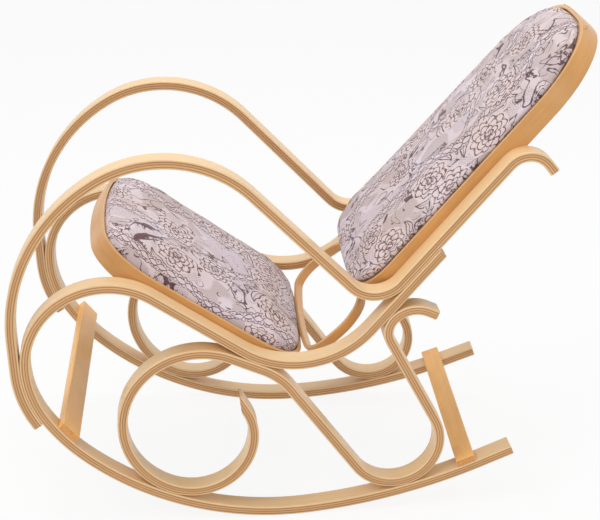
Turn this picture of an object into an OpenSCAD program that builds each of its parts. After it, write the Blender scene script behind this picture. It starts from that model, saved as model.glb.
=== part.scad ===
// Bentwood rocking chair: laminated bent strips, two hoops with crowned pads.
// Millimetres, +Z up, the chair faces -Y, its left side is +X. Each side frame is drawn flat,
// with x to the rear, y up and z across the strip, then turned to its toe-in and mirrored.
// Headings are degrees from the rear, turning up; arcs run tangent into each other.

/* [Strips] */
// width of every bent strip
strip_width = 41; // [36:0.5:46]
// thickness of every bent strip
strip_thick = 19.6; // [16:0.2:22]
// rounding of the strips' long edges
strip_edge = 2.6; // [1.5:0.1:3.5]
// clearance left where two pieces lie on each other
fit_gap = 0.3; // [0.2:0.05:0.5]

/* [Side frames] */
// distance of a frame's outer plane from the middle plane
frame_half = 270; // [255:1:285]
// angle by which the frames close up toward the rear
toe_in = 2.8; // [1.5:0.1:4]

/* [Runner] */
// place of the floor contact along the frame
keel_place = -29.6; // [-50:0.1:0]
// radius of the runner's long arc
keel_r = 593; // [570:1:620]
// turn of the long arc in front of the contact
keel_turn = 41; // [39:0.1:43]
// radius of the runner's front arc
bow_r = 388; // [370:1:410]
// turn of the front arc
bow_turn = 17; // [15:0.1:19]
// radius of the upright arc at the front
front_r = 212.5; // [205:0.5:220]
// turn of the upright arc
front_turn = 32; // [28:0.1:36]
// radius of the arc that leads into the seat support
top_r = 157; // [150:0.5:165]
// turn of the long arc behind the contact
heel_start = 4.2; // [3:0.1:6]
// radius of the runner's rear arc
heel_r = 1168; // [1100:1:1250]
// turn of the rear arc
heel_turn = 18; // [16:0.1:19]
// straight end of the runner
heel_run = 67; // [50:1:90]

/* [Seat support and back run] */
// slope of the seat support, down to the rear
support_slope = 34.5; // [33:0.1:36]
// straight length of the seat support
support_run = 205.5; // [195:0.5:215]
// radius of the valley behind the seat
valley_r = 188.5; // [182:0.5:195]
// slope of the runs beside the back
back_slope = 48.9; // [48:0.1:50]
// straight end of the rocker strip beside the back
rocker_back_run = 206; // [195:1:215]

/* [Arm] */
// turn of the arm's lap round the front of the rocker
arm_lap_turn = 31; // [26:0.5:33]
// heading of the arm where it leaves the lap
arm_lean = 92; // [90:0.5:94]
// straight rise above the lap
arm_rise = 65; // [55:1:75]
// radius of the arm's front
arm_front_r = 345; // [330:1:360]
// heading where the front passes into the top
arm_peak = 31; // [28:0.5:34]
// radius of the arm's top
arm_top_r = 238; // [230:1:250]
// slope of the arm's fall to the rear
arm_fall = 45.5; // [44:0.5:47]
// radius of the arm's valley
arm_valley_r = 66; // [60:1:72]
// straight run of the arm beside the back
arm_back_run = 306; // [290:1:320]
// radius of the curl at the arm's end
arm_curl_r = 48; // [44:1:54]
// turn of that curl
arm_curl_turn = 100; // [90:1:110]
// straight end after the curl
arm_tail = 20; // [10:1:30]

/* [Scroll] */
// slope of the scroll where it touches the seat support
scroll_slope = 24.4; // [23:0.1:26]
// straight in front of that contact
scroll_lead = 48; // [40:1:56]
// straight behind that contact
scroll_trail = 21; // [14:1:28]
// radius of the knee behind the contact
knee_r = 130; // [120:1:140]
// radius of the second part of the loop
loop_low_r = 118; // [110:1:124]
// turn of the second part of the loop
loop_low_turn = 123; // [115:1:130]
// radius of the last part of the loop
loop_end_r = 97; // [90:1:105]
// turn of the last part of the loop
loop_end_turn = 21; // [15:1:30]
// straight end of the loop
loop_end_run = 34; // [20:1:40]
// angle of the bevel on that end
bevel_angle = 24; // [18:1:34]
// place of the U along the frame
u_place = 189.5; // [185:0.5:195]
// radius of the U on the runner
u_r = 92; // [86:1:98]
// heading of the rise behind the U
rise_heading = 117.7; // [115:0.1:120]
// radius of the curl under the back run
curl_r = 41; // [37:1:46]
// turn of that curl
curl_turn = 72; // [66:1:78]
// radius of the curl's second part
curl_end_r = 58; // [52:1:64]
// turn of the curl's second part
curl_end_turn = 71; // [65:1:77]
// straight end of the curl
curl_tail = 20; // [10:1:30]

/* [Stretchers] */
// slope of the front stretcher, up to the front
front_bar_angle = 50.6; // [46:0.1:53]
// width of the front stretcher
front_bar_width = 45; // [38:1:50]
// thickness of the front stretcher
front_bar_thick = 18; // [15:0.5:20]
// slope of the rear stretcher, up to the rear
rear_bar_angle = 20.8; // [18:0.1:21.2]
// width of the rear stretcher
rear_bar_width = 39; // [34:1:44]
// thickness of the rear stretcher
rear_bar_thick = 15; // [12:0.5:18]

/* [Hoops] */
// thickness of the bent hoop bands
hoop_thick = 9; // [8:0.5:11]
// height of the hoop bands
hoop_height = 42; // [38:1:46]
// height of the seat's rim above the middle of the support
seat_rise = 22.4; // [20:0.2:25]
// length of the seat hoop in front of the support's rear end
seat_front = 346; // [336:1:356]
// length of the seat hoop behind the support's rear end
seat_rear = 137.5; // [130:0.5:145]
// radius of the seat's front corners
seat_front_r = 118; // [105:1:130]
// radius of the seat's rear corners
seat_rear_r = 102; // [90:1:112]
// radius of the seat's bowed front
seat_bow_r = 1100; // [900:10:2500]
// radius of the seat's rear edge
seat_tail_r = 2500; // [1500:10:3500]
// height of the back's rim above the middle of the arm's run
back_rise = 29.5; // [27:0.5:32]
// length of the back hoop below the start of the arm's run
back_low = 90; // [80:1:98]
// length of the back hoop above the start of the arm's run
back_high = 590; // [575:1:605]
// radius of the back's lower corners
back_low_r = 92; // [80:1:102]
// radius of the back's upper corners
back_high_r = 168; // [150:1:176]
// radius of the back's lower edge
back_foot_r = 2500; // [1500:10:3500]
// radius of the back's bowed top
back_bow_r = 900; // [700:10:2000]

/* [Ring brace] */
// width of the ring's band
ring_width = 19; // [16:0.5:22]
// thickness of the ring's band
ring_thick = 9; // [7:0.5:10]
// half width of the ring at its outside
ring_half = 203; // [195:1:208]
// radius of the ring's front corners, as a share of the ring's length
ring_front_share = 0.32; // [0.28:0.01:0.36]
// radius of the ring's rear corners, as a share of the ring's length
ring_rear_share = 0.45; // [0.38:0.01:0.47]
// radius of the ring's bowed long sides
ring_bow_r = 1500; // [1200:10:2500]
// clearance of the ring's middle at the back hoop
ring_gap = 1.6; // [1.4:0.1:2.5]
// height on the back hoop's band that the ring meets, as a share of the band
ring_meet_share = 0.88; // [0.84:0.01:0.92]

/* [Pads] */
// thickness of the seat's hidden board
seat_board_thick = 15; // [12:0.5:15]
// thickness of the back's hidden board
back_board_thick = 6; // [6:0.5:9]
// depth of the seat board's top under the rim
seat_board_depth = 24; // [22:0.5:24.5]
// depth of the back board's top under the rim
back_board_depth = 4; // [3.5:0.5:8]
// clearance of boards and covers inside the hoops
pad_gap = 1.2; // [0.8:0.1:2]
// rise of the seat pad's middle above the rim
seat_crown = 31; // [26:1:36]
// rise of the back pad's middle above the rim
back_crown = 28; // [22:1:34]
// width of the pads' rounded border
pad_roll = 46; // [38:1:50]
// thickness of the covers
cover_thick = 2; // [1.5:0.1:3]
// clearance between foam and cover
foam_gap = 0.4; // [0.3:0.1:0.8]
// thickness of the dust cover and the back lining
cloth_thick = 1.6; // [1.2:0.1:2.5]
// inset steps of the pads' rounded border, as shares of its width
roll_inset_shares = [0, 0.05, 0.18, 0.42, 1];
// height steps at those insets, as shares of the crown
roll_height_shares = [-0.04, 0.2, 0.42, 0.62, 0.83];
// scale steps inside the border, as shares of the border's inner edge
middle_scale_shares = [0.72, 0.42, 0.14];
// height steps at those scales, as shares of the crown
middle_height_shares = [0.93, 0.98, 1];

/* [Screws] */
// radius of the screws' shanks
screw_r = 2.2; // [1.8:0.1:2.6]
// radius of the screws' heads
head_r = 4.4; // [3.8:0.1:4.8]
// height of the screws' countersunk heads
head_height = 2.8; // [2.2:0.1:3.2]
// depth of the screws' heads under the surface
head_sink = 0.2; // [0.1:0.05:0.5]
// clearance round the screws in their holes
screw_gap = 0.2; // [0.15:0.05:0.4]
// length of the screws through two strips
strip_screw = 33; // [28:1:36]
// length of the screws through a hoop band
hoop_screw = 26; // [20:1:34]
// length of the screws into the boards
board_screw = 28; // [20:1:34]
// length of the screws through the ring
ring_screw = 20; // [17:1:22]
// height of the ring's screws above the middle of its band
ring_screw_rise = 3; // [2.5:0.1:3.5]
// distance of the ring's screws from the middle
ring_screw_place = 18; // [12:1:25]
// distance of the back board's screws from the middle
board_screw_place = 90; // [70:1:100]
// places of paired screws along a joint, as shares
pair_shares = [0.26, 0.74];
// places of the seat board's screws along the hoop's sides, as shares
board_pair_shares = [0.06, 0.94];

/* [Hidden] */
$fn = 64;
arc_steps = 5;
edge_steps = 4;
cut_share = 0.45;
screw_depth_share = 0.6;
// depth by which a stretcher's underside is let down onto its strip
bar_sink = 0.6;
// neighbouring pieces of a strip run into each other by seam, one of them slimmer by seam_step
seam = 0.4;
seam_step = 0.02;

// direction of a heading, and its left-hand normal
function th(h) = [cos(h), sin(h)];
function nl(h) = [-sin(h), cos(h)];
function unit(v) = v / norm(v);
function cross2(a, b) = a.x * b.y - a.y * b.x;

// rocker strip, from the floor contact forward and up, then to its rear end
lap = strip_thick + fit_gap;
keel_c = [keel_place, keel_r + strip_thick / 2];
bow_h = -keel_turn;
bow_c = keel_c - (keel_r - bow_r) * nl(bow_h);
front_h = bow_h - bow_turn;
front_c = bow_c - (bow_r - front_r) * nl(front_h);
top_h = front_h - front_turn;
top_c = front_c - (front_r - top_r) * nl(top_h);
support_h = -180 - support_slope;
support_top = top_c - top_r * nl(support_h);
support_low = support_top - support_run * th(support_h);
valley_c = support_low - valley_r * nl(support_h);
run_start = valley_c - valley_r * nl(back_slope);
heel_h = heel_start;
heel_c = keel_c - (keel_r - heel_r) * nl(heel_h);
heel_end_h = heel_start + heel_turn;
// a strip lying on the long arc has its middle at this radius, and one on the rear arc at the next
reach = keel_r - lap;
heel_reach = heel_r - lap;

// arm strip, from its lap on the rocker's front to the curl behind the back
arm_lap_r = front_r + lap;
arm_lap_end = front_c + arm_lap_r * nl(arm_lean);
arm_rise_end = arm_lap_end + arm_rise * th(arm_lean);
arm_front_c = arm_rise_end - arm_front_r * nl(arm_lean);
arm_top_c = arm_front_c + (arm_front_r - arm_top_r) * nl(arm_peak);
arm_fall_start = arm_top_c + arm_top_r * nl(-arm_fall);
arm_line = run_start + lap * nl(back_slope);
arm_cross = cross2(th(-arm_fall), th(back_slope));
arm_tangent = arm_valley_r * tan((arm_fall + back_slope) / 2);
arm_fall_run = cross2(arm_line - arm_fall_start, th(back_slope)) / arm_cross - arm_tangent;
arm_valley_c = arm_fall_start + arm_fall_run * th(-arm_fall) + arm_valley_r * nl(-arm_fall);
arm_run_at = cross2(arm_line - arm_fall_start, th(-arm_fall)) / arm_cross + arm_tangent;
arm_run_start = arm_line + arm_run_at * th(back_slope);
arm_curl_c = arm_run_start + arm_back_run * th(back_slope) - arm_curl_r * nl(back_slope);

// scroll strip, tied to the valley, the long arc, the rear arc and the back run
touch_p = valley_c - (valley_r + lap) * nl(-scroll_slope);
lead_p = touch_p - scroll_lead * th(-scroll_slope);
lead_v = lead_p - keel_c;
loop_r = (reach * reach - lead_v * lead_v) / (2 * (reach - lead_v * nl(-scroll_slope)));
loop_c = lead_p - loop_r * nl(-scroll_slope);
loop_down = unit(loop_c - keel_c);
loop_h = atan2(-loop_down.x, loop_down.y);
low_c = loop_c + (loop_r - loop_low_r) * nl(loop_h);
low_h = loop_h + loop_low_turn;
end_c = low_c + (loop_low_r - loop_end_r) * nl(low_h);
end_h = low_h + loop_end_turn;
knee_c = touch_p + scroll_trail * th(-scroll_slope) - knee_r * nl(-scroll_slope);
u_off = u_place - heel_c.x;
u_c = [u_place, heel_c.y - sqrt((heel_reach - u_r) * (heel_reach - u_r) - u_off * u_off)];
knee_v = u_c - knee_c;
fall_h = atan2(knee_v.y, knee_v.x) - asin((u_r + knee_r) / norm(knee_v));
fall_start = knee_c + knee_r * nl(fall_h);
fall_run = norm(u_c - u_r * nl(fall_h) - fall_start);
rise_start = u_c - u_r * nl(rise_heading);
rise_run = (-(lap + curl_r) - (rise_start - curl_r * nl(rise_heading) - run_start) * nl(back_slope))
    / (th(rise_heading) * nl(back_slope));
curl_c = rise_start + rise_run * th(rise_heading) - curl_r * nl(rise_heading);
curl_end_h = rise_heading - curl_turn;
curl_end_c = curl_c + (curl_r - curl_end_r) * nl(curl_end_h);
curl_tail_h = curl_end_h - curl_end_turn;

// stretchers: centre, radius and heading of the arc under each, its width and thickness, and the
// distance from the frame's inner plane where its flat underside meets that arc
front_bar = [bow_c, bow_r, -front_bar_angle, front_bar_width, front_bar_thick, 0];
rear_bar = [heel_c, heel_r, rear_bar_angle, rear_bar_width, rear_bar_thick, strip_width];

// hoops: the frames' inner planes, and each hoop's own plane
inner_half = frame_half - strip_width;
function frame_y(s) = inner_half * sin(toe_in) + s * cos(toe_in);
hoop_top = (back_rise - hoop_height) * nl(back_slope) + back_high * th(back_slope);
middle_y = (frame_y(arm_front_c.x - arm_front_r - strip_thick / 2)
    + frame_y(arm_run_start.x) + hoop_top.x) / 2;
function side_y(s) = frame_y(s) - middle_y;
function inner_x(y) = (inner_half - (y + middle_y) * sin(toe_in)) / cos(toe_in);
seat_o = [side_y(support_low.x), support_low.y] + seat_rise * th(90 - support_slope);
back_o = [side_y(arm_run_start.x), arm_run_start.y] + back_rise * nl(back_slope);
function seat_x(u) = inner_x(seat_o.x + u * cos(support_slope)) - fit_gap;
function back_x(u) = inner_x(back_o.x + u * cos(back_slope)) - fit_gap;
seat_taper = (seat_x(0) - seat_x(seat_rear)) / seat_rear;
back_taper = (back_x(0) - back_x(back_high)) / back_high;
// outline: x and u of the lower corner, its radius, the same above, radii of both bows
function corner_x(x, r, taper) = x - r * sqrt(1 + taper * taper);
function shape(x1, u1, r1, x2, u2, r2, b1, b2) = let(
    f = function (r, b, x) b - sqrt((b - r) * (b - r) - x * x))
    [x1, u1 + f(r1, b1, x1), r1, x2, u2 - f(r2, b2, x2), r2, u1 + b1, u2 - b2, b1, b2];
seat_x1 = corner_x(seat_x(seat_front_r - seat_front), seat_front_r, seat_taper);
seat_x2 = corner_x(seat_x(seat_rear - seat_rear_r), seat_rear_r, seat_taper);
back_x1 = corner_x(back_x(back_low_r - back_low), back_low_r, back_taper);
back_x2 = corner_x(back_x(back_high - back_high_r), back_high_r, back_taper);
seat_shape = shape(seat_x1, -seat_front, seat_front_r, seat_x2, seat_rear, seat_rear_r,
    seat_bow_r, seat_tail_r);
back_shape = shape(back_x1, -back_low, back_low_r, back_x2, back_high, back_high_r,
    back_foot_r, back_bow_r);
// corner centres, side normal and bow ends of such an outline
function c1(s) = [s[0], s[1]];
function c2(s) = [s[3], s[4]];
function side_a(s) = let(d = c2(s) - c1(s)) atan2(d.y, d.x) - acos((s[2] - s[5]) / norm(d));
function bow1_a(s) = atan2(s[1] - s[6], s[0]);
function bow2_a(s) = atan2(s[4] - s[7], s[3]);
function side_p(s, inset, share) = let(n = th(side_a(s)),
    a = c1(s) + (s[2] - inset) * n, b = c2(s) + (s[5] - inset) * n) a + share * (b - a);

// ring brace: from the seat hoop's upper rear edge to the back hoop's lower band
ring_a = seat_o + seat_rear * th(-support_slope);
ring_b = back_o - back_low * th(back_slope) - ring_meet_share * hoop_height * nl(back_slope);
ring_v = ring_b - ring_a;
ring_tilt = atan2(ring_v.y, ring_v.x);
ring_len = norm(ring_v) - fit_gap - ring_gap;
ring_front_r = ring_front_share * ring_len;
ring_rear_r = ring_rear_share * ring_len;
ring_shape = shape(ring_half - ring_front_r, 0, ring_front_r, ring_half - ring_rear_r,
    ring_len, ring_rear_r, ring_bow_r, ring_bow_r);

// section of a strip, its thickness along x and its width along y; a slim one is set in a little
module strip_section(slim) {
    e = strip_edge;
    x0 = strip_thick / 2 - slim * seam_step;
    y0 = slim * seam_step;
    y1 = strip_width - y0;
    translate([e - x0, y0]) square([2 * (x0 - e), y1 - y0]);
    translate([-x0, y0 + e]) square([2 * x0, y1 - y0 - 2 * e]);
    for (x = [e - x0, x0 - e], y = [y0 + e, y1 - e]) translate([x, y]) circle(e, $fn = 16);
}

// straight piece of strip from p along heading h; slim pieces reach into their neighbours
module straight(p, h, l, slim = 0) {
    translate([p.x, p.y, 0]) rotate([0, 0, h]) translate([-slim * seam, 0, 0])
        rotate([90, 0, 90]) linear_extrude(l + 2 * slim * seam) strip_section(slim);
}

// bent piece of strip about c, from heading h, turning left when turn is positive
module bend(c, r, h, turn, slim = 0) {
    more = slim * atan(seam / r);
    a = turn > 0 ? h - 90 : h + 90 + turn;
    translate([c.x, c.y, 0]) rotate([0, 0, a - more])
        rotate_extrude(angle = abs(turn) + 2 * more) translate([r, 0]) strip_section(slim);
}

// puts a flat-drawn frame part in its place, side 1 is the left and -1 the right
module side(s) {
    mirror([s < 0 ? 1 : 0, 0, 0]) translate([0, -middle_y, 0]) rotate([0, 0, toe_in])
        translate([inner_half, 0, 0]) rotate([90, 0, 90]) children();
}

// countersunk screw along +z with its head just under the surface at 0, or the hole for it
module screw(l, gap = 0) {
    translate([0, 0, head_sink]) {
        cylinder(h = head_height, r1 = head_r + gap, r2 = screw_r + gap);
        cylinder(h = l + gap - head_sink, r = screw_r + gap);
    }
    if (gap > 0) translate([0, 0, -head_height])
        cylinder(h = head_height + head_sink, r = head_r + gap);
}

// screw in a frame's drawing plane, from p along heading h
module frame_screw(p, h, l, gap) {
    translate([p.x, p.y, strip_width / 2]) rotate([0, 0, h]) rotate([0, 90, 0])
        screw(l, gap);
}

module arm_front_set(gap = 0) {
    for (k = pair_shares) let(h = arm_lean + k * arm_lap_turn)
        frame_screw(front_c + (front_r - strip_thick / 2) * nl(h), h + 90, strip_screw, gap);
}

module arm_rear_set(gap = 0) {
    for (k = pair_shares) let(at = arm_run_at + k * (rocker_back_run - arm_run_at))
        frame_screw(run_start + at * th(back_slope) - strip_thick / 2 * nl(back_slope),
            back_slope + 90, strip_screw, gap);
}

module scroll_set(gap = 0) {
    frame_screw(touch_p - strip_thick / 2 * nl(-scroll_slope), 90 - scroll_slope,
        strip_screw, gap);
    for (b = [[loop_c, keel_c, keel_r], [u_c, heel_c, heel_r]]) let(d = unit(b[0] - b[1]))
        frame_screw(b[1] + (b[2] + strip_thick / 2) * d, atan2(-d.y, -d.x), strip_screw, gap);
    frame_screw(curl_c + (curl_r - strip_thick / 2) * nl(back_slope), back_slope + 90,
        strip_screw, gap);
}

module stretcher_set(gap = 0) {
    for (b = [front_bar, rear_bar], k = pair_shares) {
        h = b[2] + atan2((k - 0.5) * b[3], b[1]);
        frame_screw(b[0] - (b[1] + strip_thick / 2) * nl(h), h + 90,
            strip_thick + screw_depth_share * b[4], gap);
    }
}

module hoop_screw_at(s, depth, gap) {
    for (m = [0, 1], k = pair_shares) let(p = side_p(s, hoop_thick, k)) mirror([m, 0, 0])
        translate([p.x, p.y, -depth]) rotate([0, 0, side_a(s)]) rotate([0, 90, 0])
            screw(hoop_screw, gap);
}

module seat_place() { translate([0, seat_o.x, seat_o.y]) rotate([-support_slope, 0, 0]) children(); }
module back_place() { translate([0, back_o.x, back_o.y]) rotate([back_slope, 0, 0]) children(); }
module ring_place() {
    q = ring_a + fit_gap * unit(ring_v);
    translate([0, q.x, q.y]) rotate([ring_tilt, 0, 0]) children();
}

module seat_hoop_set(gap = 0) { seat_place() hoop_screw_at(seat_shape, seat_rise, gap); }
module back_hoop_set(gap = 0) {
    back_place() for (m = [0, 1], k = pair_shares) mirror([m, 0, 0]) {
        u = k * arm_back_run;
        s = back_shape;
        share = (u - side_p(s, hoop_thick, 0).y) / (side_p(s, hoop_thick, 1).y - side_p(s, hoop_thick, 0).y);
        p = side_p(s, hoop_thick, share);
        translate([p.x, p.y, -back_rise]) rotate([0, 0, side_a(s)]) rotate([0, 90, 0])
            screw(hoop_screw, gap);
    }
}

// screws from the ring's inside into the seat hoop's edge and the back hoop's band
module ring_set(gap = 0) {
    ring_place() for (x = [-ring_screw_place, ring_screw_place]) {
        b = ring_bow_r - sqrt(ring_bow_r * ring_bow_r - x * x);
        translate([x, b + ring_thick, ring_screw_rise]) rotate([90, 0, 0])
            screw(ring_screw, gap);
        translate([x, ring_len - b - ring_thick, ring_screw_rise]) rotate([-90, 0, 0])
            screw(ring_screw, gap);
    }
}

module seat_board_set(gap = 0) {
    at = seat_board_depth + seat_board_thick / 2;
    seat_place() for (m = [0, 1], k = board_pair_shares) let(p = side_p(seat_shape, 0, k))
        mirror([m, 0, 0]) translate([p.x, p.y, -at]) rotate([0, 0, side_a(seat_shape)])
            rotate([0, -90, 0]) screw(board_screw, gap);
}

module back_board_set(gap = 0) {
    at = back_board_depth + back_board_thick / 2;
    s = back_shape;
    back_place() for (x = [-board_screw_place, board_screw_place]) {
        translate([x, s[6] - sqrt(s[8] * s[8] - x * x), -at]) rotate([-90, 0, 0])
            screw(board_screw, gap);
        translate([x, s[7] + sqrt(s[9] * s[9] - x * x), -at]) rotate([90, 0, 0])
            screw(board_screw, gap);
    }
}

module arm_strip() {
    difference() {
        union() {
            bend(front_c, arm_lap_r, arm_lean + arm_lap_turn, -arm_lap_turn);
            straight(arm_lap_end, arm_lean, arm_rise, 1);
            bend(arm_front_c, arm_front_r, arm_lean, arm_peak - arm_lean);
            bend(arm_top_c, arm_top_r, arm_peak, -arm_fall - arm_peak, 1);
            straight(arm_fall_start, -arm_fall, arm_fall_run);
            bend(arm_valley_c, arm_valley_r, -arm_fall, arm_fall + back_slope, 1);
            straight(arm_run_start, back_slope, arm_back_run);
            bend(arm_curl_c, arm_curl_r, back_slope, -arm_curl_turn, 1);
            straight(arm_curl_c + arm_curl_r * nl(back_slope - arm_curl_turn),
                back_slope - arm_curl_turn, arm_tail);
        }
        arm_front_set(screw_gap);
        arm_rear_set(screw_gap);
    }
}

module rocker_strip() {
    difference() {
        union() {
            straight(run_start, back_slope, rocker_back_run);
            bend(valley_c, valley_r, -support_slope, support_slope + back_slope, 1);
            straight(support_low, support_h, support_run);
            bend(top_c, top_r, support_h, top_h - support_h, 1);
            bend(front_c, front_r, top_h, front_turn);
            bend(bow_c, bow_r, front_h, bow_turn, 1);
            bend(keel_c, keel_r, bow_h, keel_turn + heel_start);
            bend(heel_c, heel_r, heel_h, heel_turn, 1);
            straight(heel_c - heel_r * nl(heel_end_h), heel_end_h, heel_run);
        }
        arm_front_set(screw_gap);
        arm_rear_set(screw_gap);
        scroll_set(screw_gap);
        stretcher_set(screw_gap);
    }
}

module scroll_strip() {
    tip = end_c + loop_end_r * nl(end_h);
    difference() {
        union() {
            straight(tip, end_h + 180, loop_end_run);
            bend(end_c, loop_end_r, end_h, -loop_end_turn, 1);
            bend(low_c, loop_low_r, low_h, -loop_low_turn);
            bend(loop_c, loop_r, loop_h, -scroll_slope - loop_h, 1);
            straight(lead_p, -scroll_slope, scroll_lead + scroll_trail);
            bend(knee_c, knee_r, -scroll_slope, fall_h + scroll_slope, 1);
            straight(fall_start, fall_h, fall_run);
            bend(u_c, u_r, fall_h, rise_heading - fall_h, 1);
            straight(rise_start, rise_heading, rise_run);
            bend(curl_c, curl_r, rise_heading, -curl_turn, 1);
            bend(curl_end_c, curl_end_r, curl_end_h, -curl_end_turn);
            straight(curl_end_c + curl_end_r * nl(curl_tail_h), curl_tail_h, curl_tail, 1);
        }
        translate([tip.x, tip.y, -strip_width / 2]) rotate([0, 0, end_h + 180])
            translate([loop_end_run, -cut_share * strip_thick / 2, 0]) rotate([0, 0, 180 - bevel_angle])
                translate([0, -strip_width, 0]) cube([2 * strip_width, strip_width, 2 * strip_width]);
        scroll_set(screw_gap);
    }
}

// flat board across the runners, its ends flush with the frames' outer sides and its underside
// housed flat on the strips
module bar(b) {
    rest = b[1] - strip_thick / 2 - fit_gap;
    angle = b[2];
    chord = sqrt(rest * rest - b[3] * b[3] / 4);
    drop = chord + bar_sink;
    mid_y = side_y(b[0].x + drop * sin(angle)) + b[5] * sin(toe_in);
    difference() {
        translate([0, mid_y, b[0].y - drop * cos(angle)]) rotate([angle, 0, 0])
            linear_extrude(b[4]) polygon([for (e = [[1, -1], [1, 1], [-1, 1], [-1, -1]])
                let(v = e.y * b[3] / 2, y = mid_y + v * cos(angle))
                [e.x * (inner_x(y) + strip_width / cos(toe_in)), v]]);
        for (s = [1, -1]) side(s) {
            stretcher_set(screw_gap);
            translate([b[0].x, b[0].y, -strip_width / 2]) rotate([0, 0, angle - 90])
                translate([chord, -b[3], 0]) cube([strip_thick, 2 * b[3], 2 * strip_width]);
        }
    }
}

// outline of a hoop or board, drawn with exact arcs; its sides and bows end just inside its corners
module outline(s, inset) {
    b1 = bow1_a(s);
    b2 = bow2_a(s);
    d = inset + seam_step;
    half = [[0, s[6]] + (s[8] - d) * th(b1), side_p(s, d, 0), side_p(s, d, 1),
        [0, s[7]] + (s[9] - d) * th(b2)];
    polygon([for (p = half) p, for (k = [3:-1:0]) [-half[k].x, half[k].y]]);
    for (x = [-1, 1]) {
        translate([x * s[0], s[1]]) circle(s[2] - inset);
        translate([x * s[3], s[4]]) circle(s[5] - inset);
    }
    bow(s[6], s[8] - d, b1);
    bow(s[7], s[9] - d, b2);
}

// the part of a large circle that lies outside its chord, with a little inside for the union
module bow(u, r, a) {
    p = r * th(a);
    sag = sign(p.y) * (r - abs(p.y));
    intersection() {
        translate([0, u]) circle(r, $fn = 256);
        polygon([for (e = [[1, -1], [1, 2], [-1, 2], [-1, -1]]) [e.x * p.x, u + p.y + e.y * sag]]);
    }
}

module hoop(s, height, thick) {
    linear_extrude(height) difference() {
        outline(s, 0);
        outline(s, thick);
    }
}

// points round an outline, the same number at every inset
function arc_pts(c, r, a, b, n) = [for (k = [0:n - 1]) c + r * th(a + (b - a) * k / n)];
function half_pts(s, d) = let(a = side_a(s), b1 = bow1_a(s), b2 = bow2_a(s)) concat(
    arc_pts([0, s[6]], s[8] - d, -90, b1, edge_steps),
    arc_pts(c1(s), s[2] - d, b1, a, arc_steps),
    [for (k = [0:edge_steps - 1]) side_p(s, d, k / edge_steps)],
    arc_pts(c2(s), s[5] - d, a, b2, arc_steps),
    arc_pts([0, s[7]], s[9] - d, b2, 90, edge_steps));
function ring_pts(s, d) = let(h = half_pts(s, d), n = len(h)) concat(h,
    [[0, s[7] + s[9] - d]], [for (k = [n - 1:-1:1]) [-h[k].x, h[k].y]]);
function mid_u(s) = (s[1] + s[4]) / 2;
function scaled(p, s, k) = [for (q = p) [q.x * k, mid_u(s) + (q.y - mid_u(s)) * k]];

// layers of a crowned pad: a plan outline and a height each, drop is a skin taken off
function pad_rings(s, base, crown, drop) = let(
    d0 = hoop_thick + pad_gap + drop,
    edge = ring_pts(s, d0 + pad_roll))
    concat([[ring_pts(s, d0), -base]],
        [for (k = [0:len(roll_inset_shares) - 1])
            [ring_pts(s, d0 + pad_roll * roll_inset_shares[k]), crown * roll_height_shares[k] - drop]],
        [for (k = [0:len(middle_scale_shares) - 1])
            [scaled(edge, s, middle_scale_shares[k]), crown * middle_height_shares[k] - drop]]);
function pad_points(rings, s) = concat(
    [for (r = rings) for (p = r[0]) [p.x, p.y, r[1]]],
    [[0, mid_u(s), rings[len(rings) - 1][1]]]);
function skin_faces(m, n, at, flip) = [for (r = [0:m - 2]) for (k = [0:n - 1])
    let(a = at + r * n + k, b = at + r * n + (k + 1) % n, c = b + n, d = a + n)
    each flip ? [[a, b, c], [a, c, d]] : [[a, c, b], [a, d, c]]];
function cap_faces(m, n, at, flip) = [for (k = [0:n - 1])
    let(a = at + (m - 1) * n + k, b = at + (m - 1) * n + (k + 1) % n, c = at + m * n)
    flip ? [a, b, c] : [a, c, b]];

module foam(s, base, crown) {
    drop = cover_thick + foam_gap;
    rings = pad_rings(s, base - fit_gap, crown, drop);
    n = len(rings[0][0]);
    m = len(rings);
    polyhedron(concat(pad_points(rings, s), [[0, mid_u(s), fit_gap - base]]),
        concat(skin_faces(m, n, 0, false), cap_faces(m, n, 0, false),
            [for (k = [0:n - 1]) [k, (k + 1) % n, m * n + 1]]));
}

module cover(s, base, crown) {
    outer = pad_rings(s, base - fit_gap, crown, 0);
    inner = pad_rings(s, base - fit_gap, crown, cover_thick);
    n = len(outer[0][0]);
    m = len(outer);
    at = m * n + 1;
    polyhedron(concat(pad_points(outer, s), pad_points(inner, s)),
        concat(skin_faces(m, n, 0, false), cap_faces(m, n, 0, false),
            skin_faces(m, n, at, true), cap_faces(m, n, at, true),
            [for (k = [0:n - 1]) let(j = (k + 1) % n) each [[k, j, at + j], [k, at + j, at + k]]]));
}

module arm_bend(s) {
    color("BurlyWood") difference() {
        side(s) arm_strip();
        back_hoop_set(screw_gap);
    }
}

module rocker_bend(s) {
    color("Tan") difference() {
        side(s) rocker_strip();
        seat_hoop_set(screw_gap);
    }
}

module left_arm_bend() { arm_bend(1); }
module right_arm_bend() { arm_bend(-1); }
module left_rocker_bend() { rocker_bend(1); }
module right_rocker_bend() { rocker_bend(-1); }
module left_scroll_bend() { color("Wheat") side(1) scroll_strip(); }
module right_scroll_bend() { color("Wheat") side(-1) scroll_strip(); }
module front_stretcher() {
    color("SandyBrown") bar(front_bar);
}
module rear_stretcher() {
    color("SandyBrown") bar(rear_bar);
}

module ring_brace() {
    color("Peru") difference() {
        ring_place() translate([0, 0, -ring_width / 2]) hoop(ring_shape, ring_width, ring_thick);
        ring_set(screw_gap);
    }
}

module seat_hoop() {
    color("Chocolate") difference() {
        seat_place() translate([0, 0, -hoop_height]) hoop(seat_shape, hoop_height, hoop_thick);
        seat_hoop_set(screw_gap);
        seat_board_set(screw_gap);
        ring_set(screw_gap);
    }
}

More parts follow.
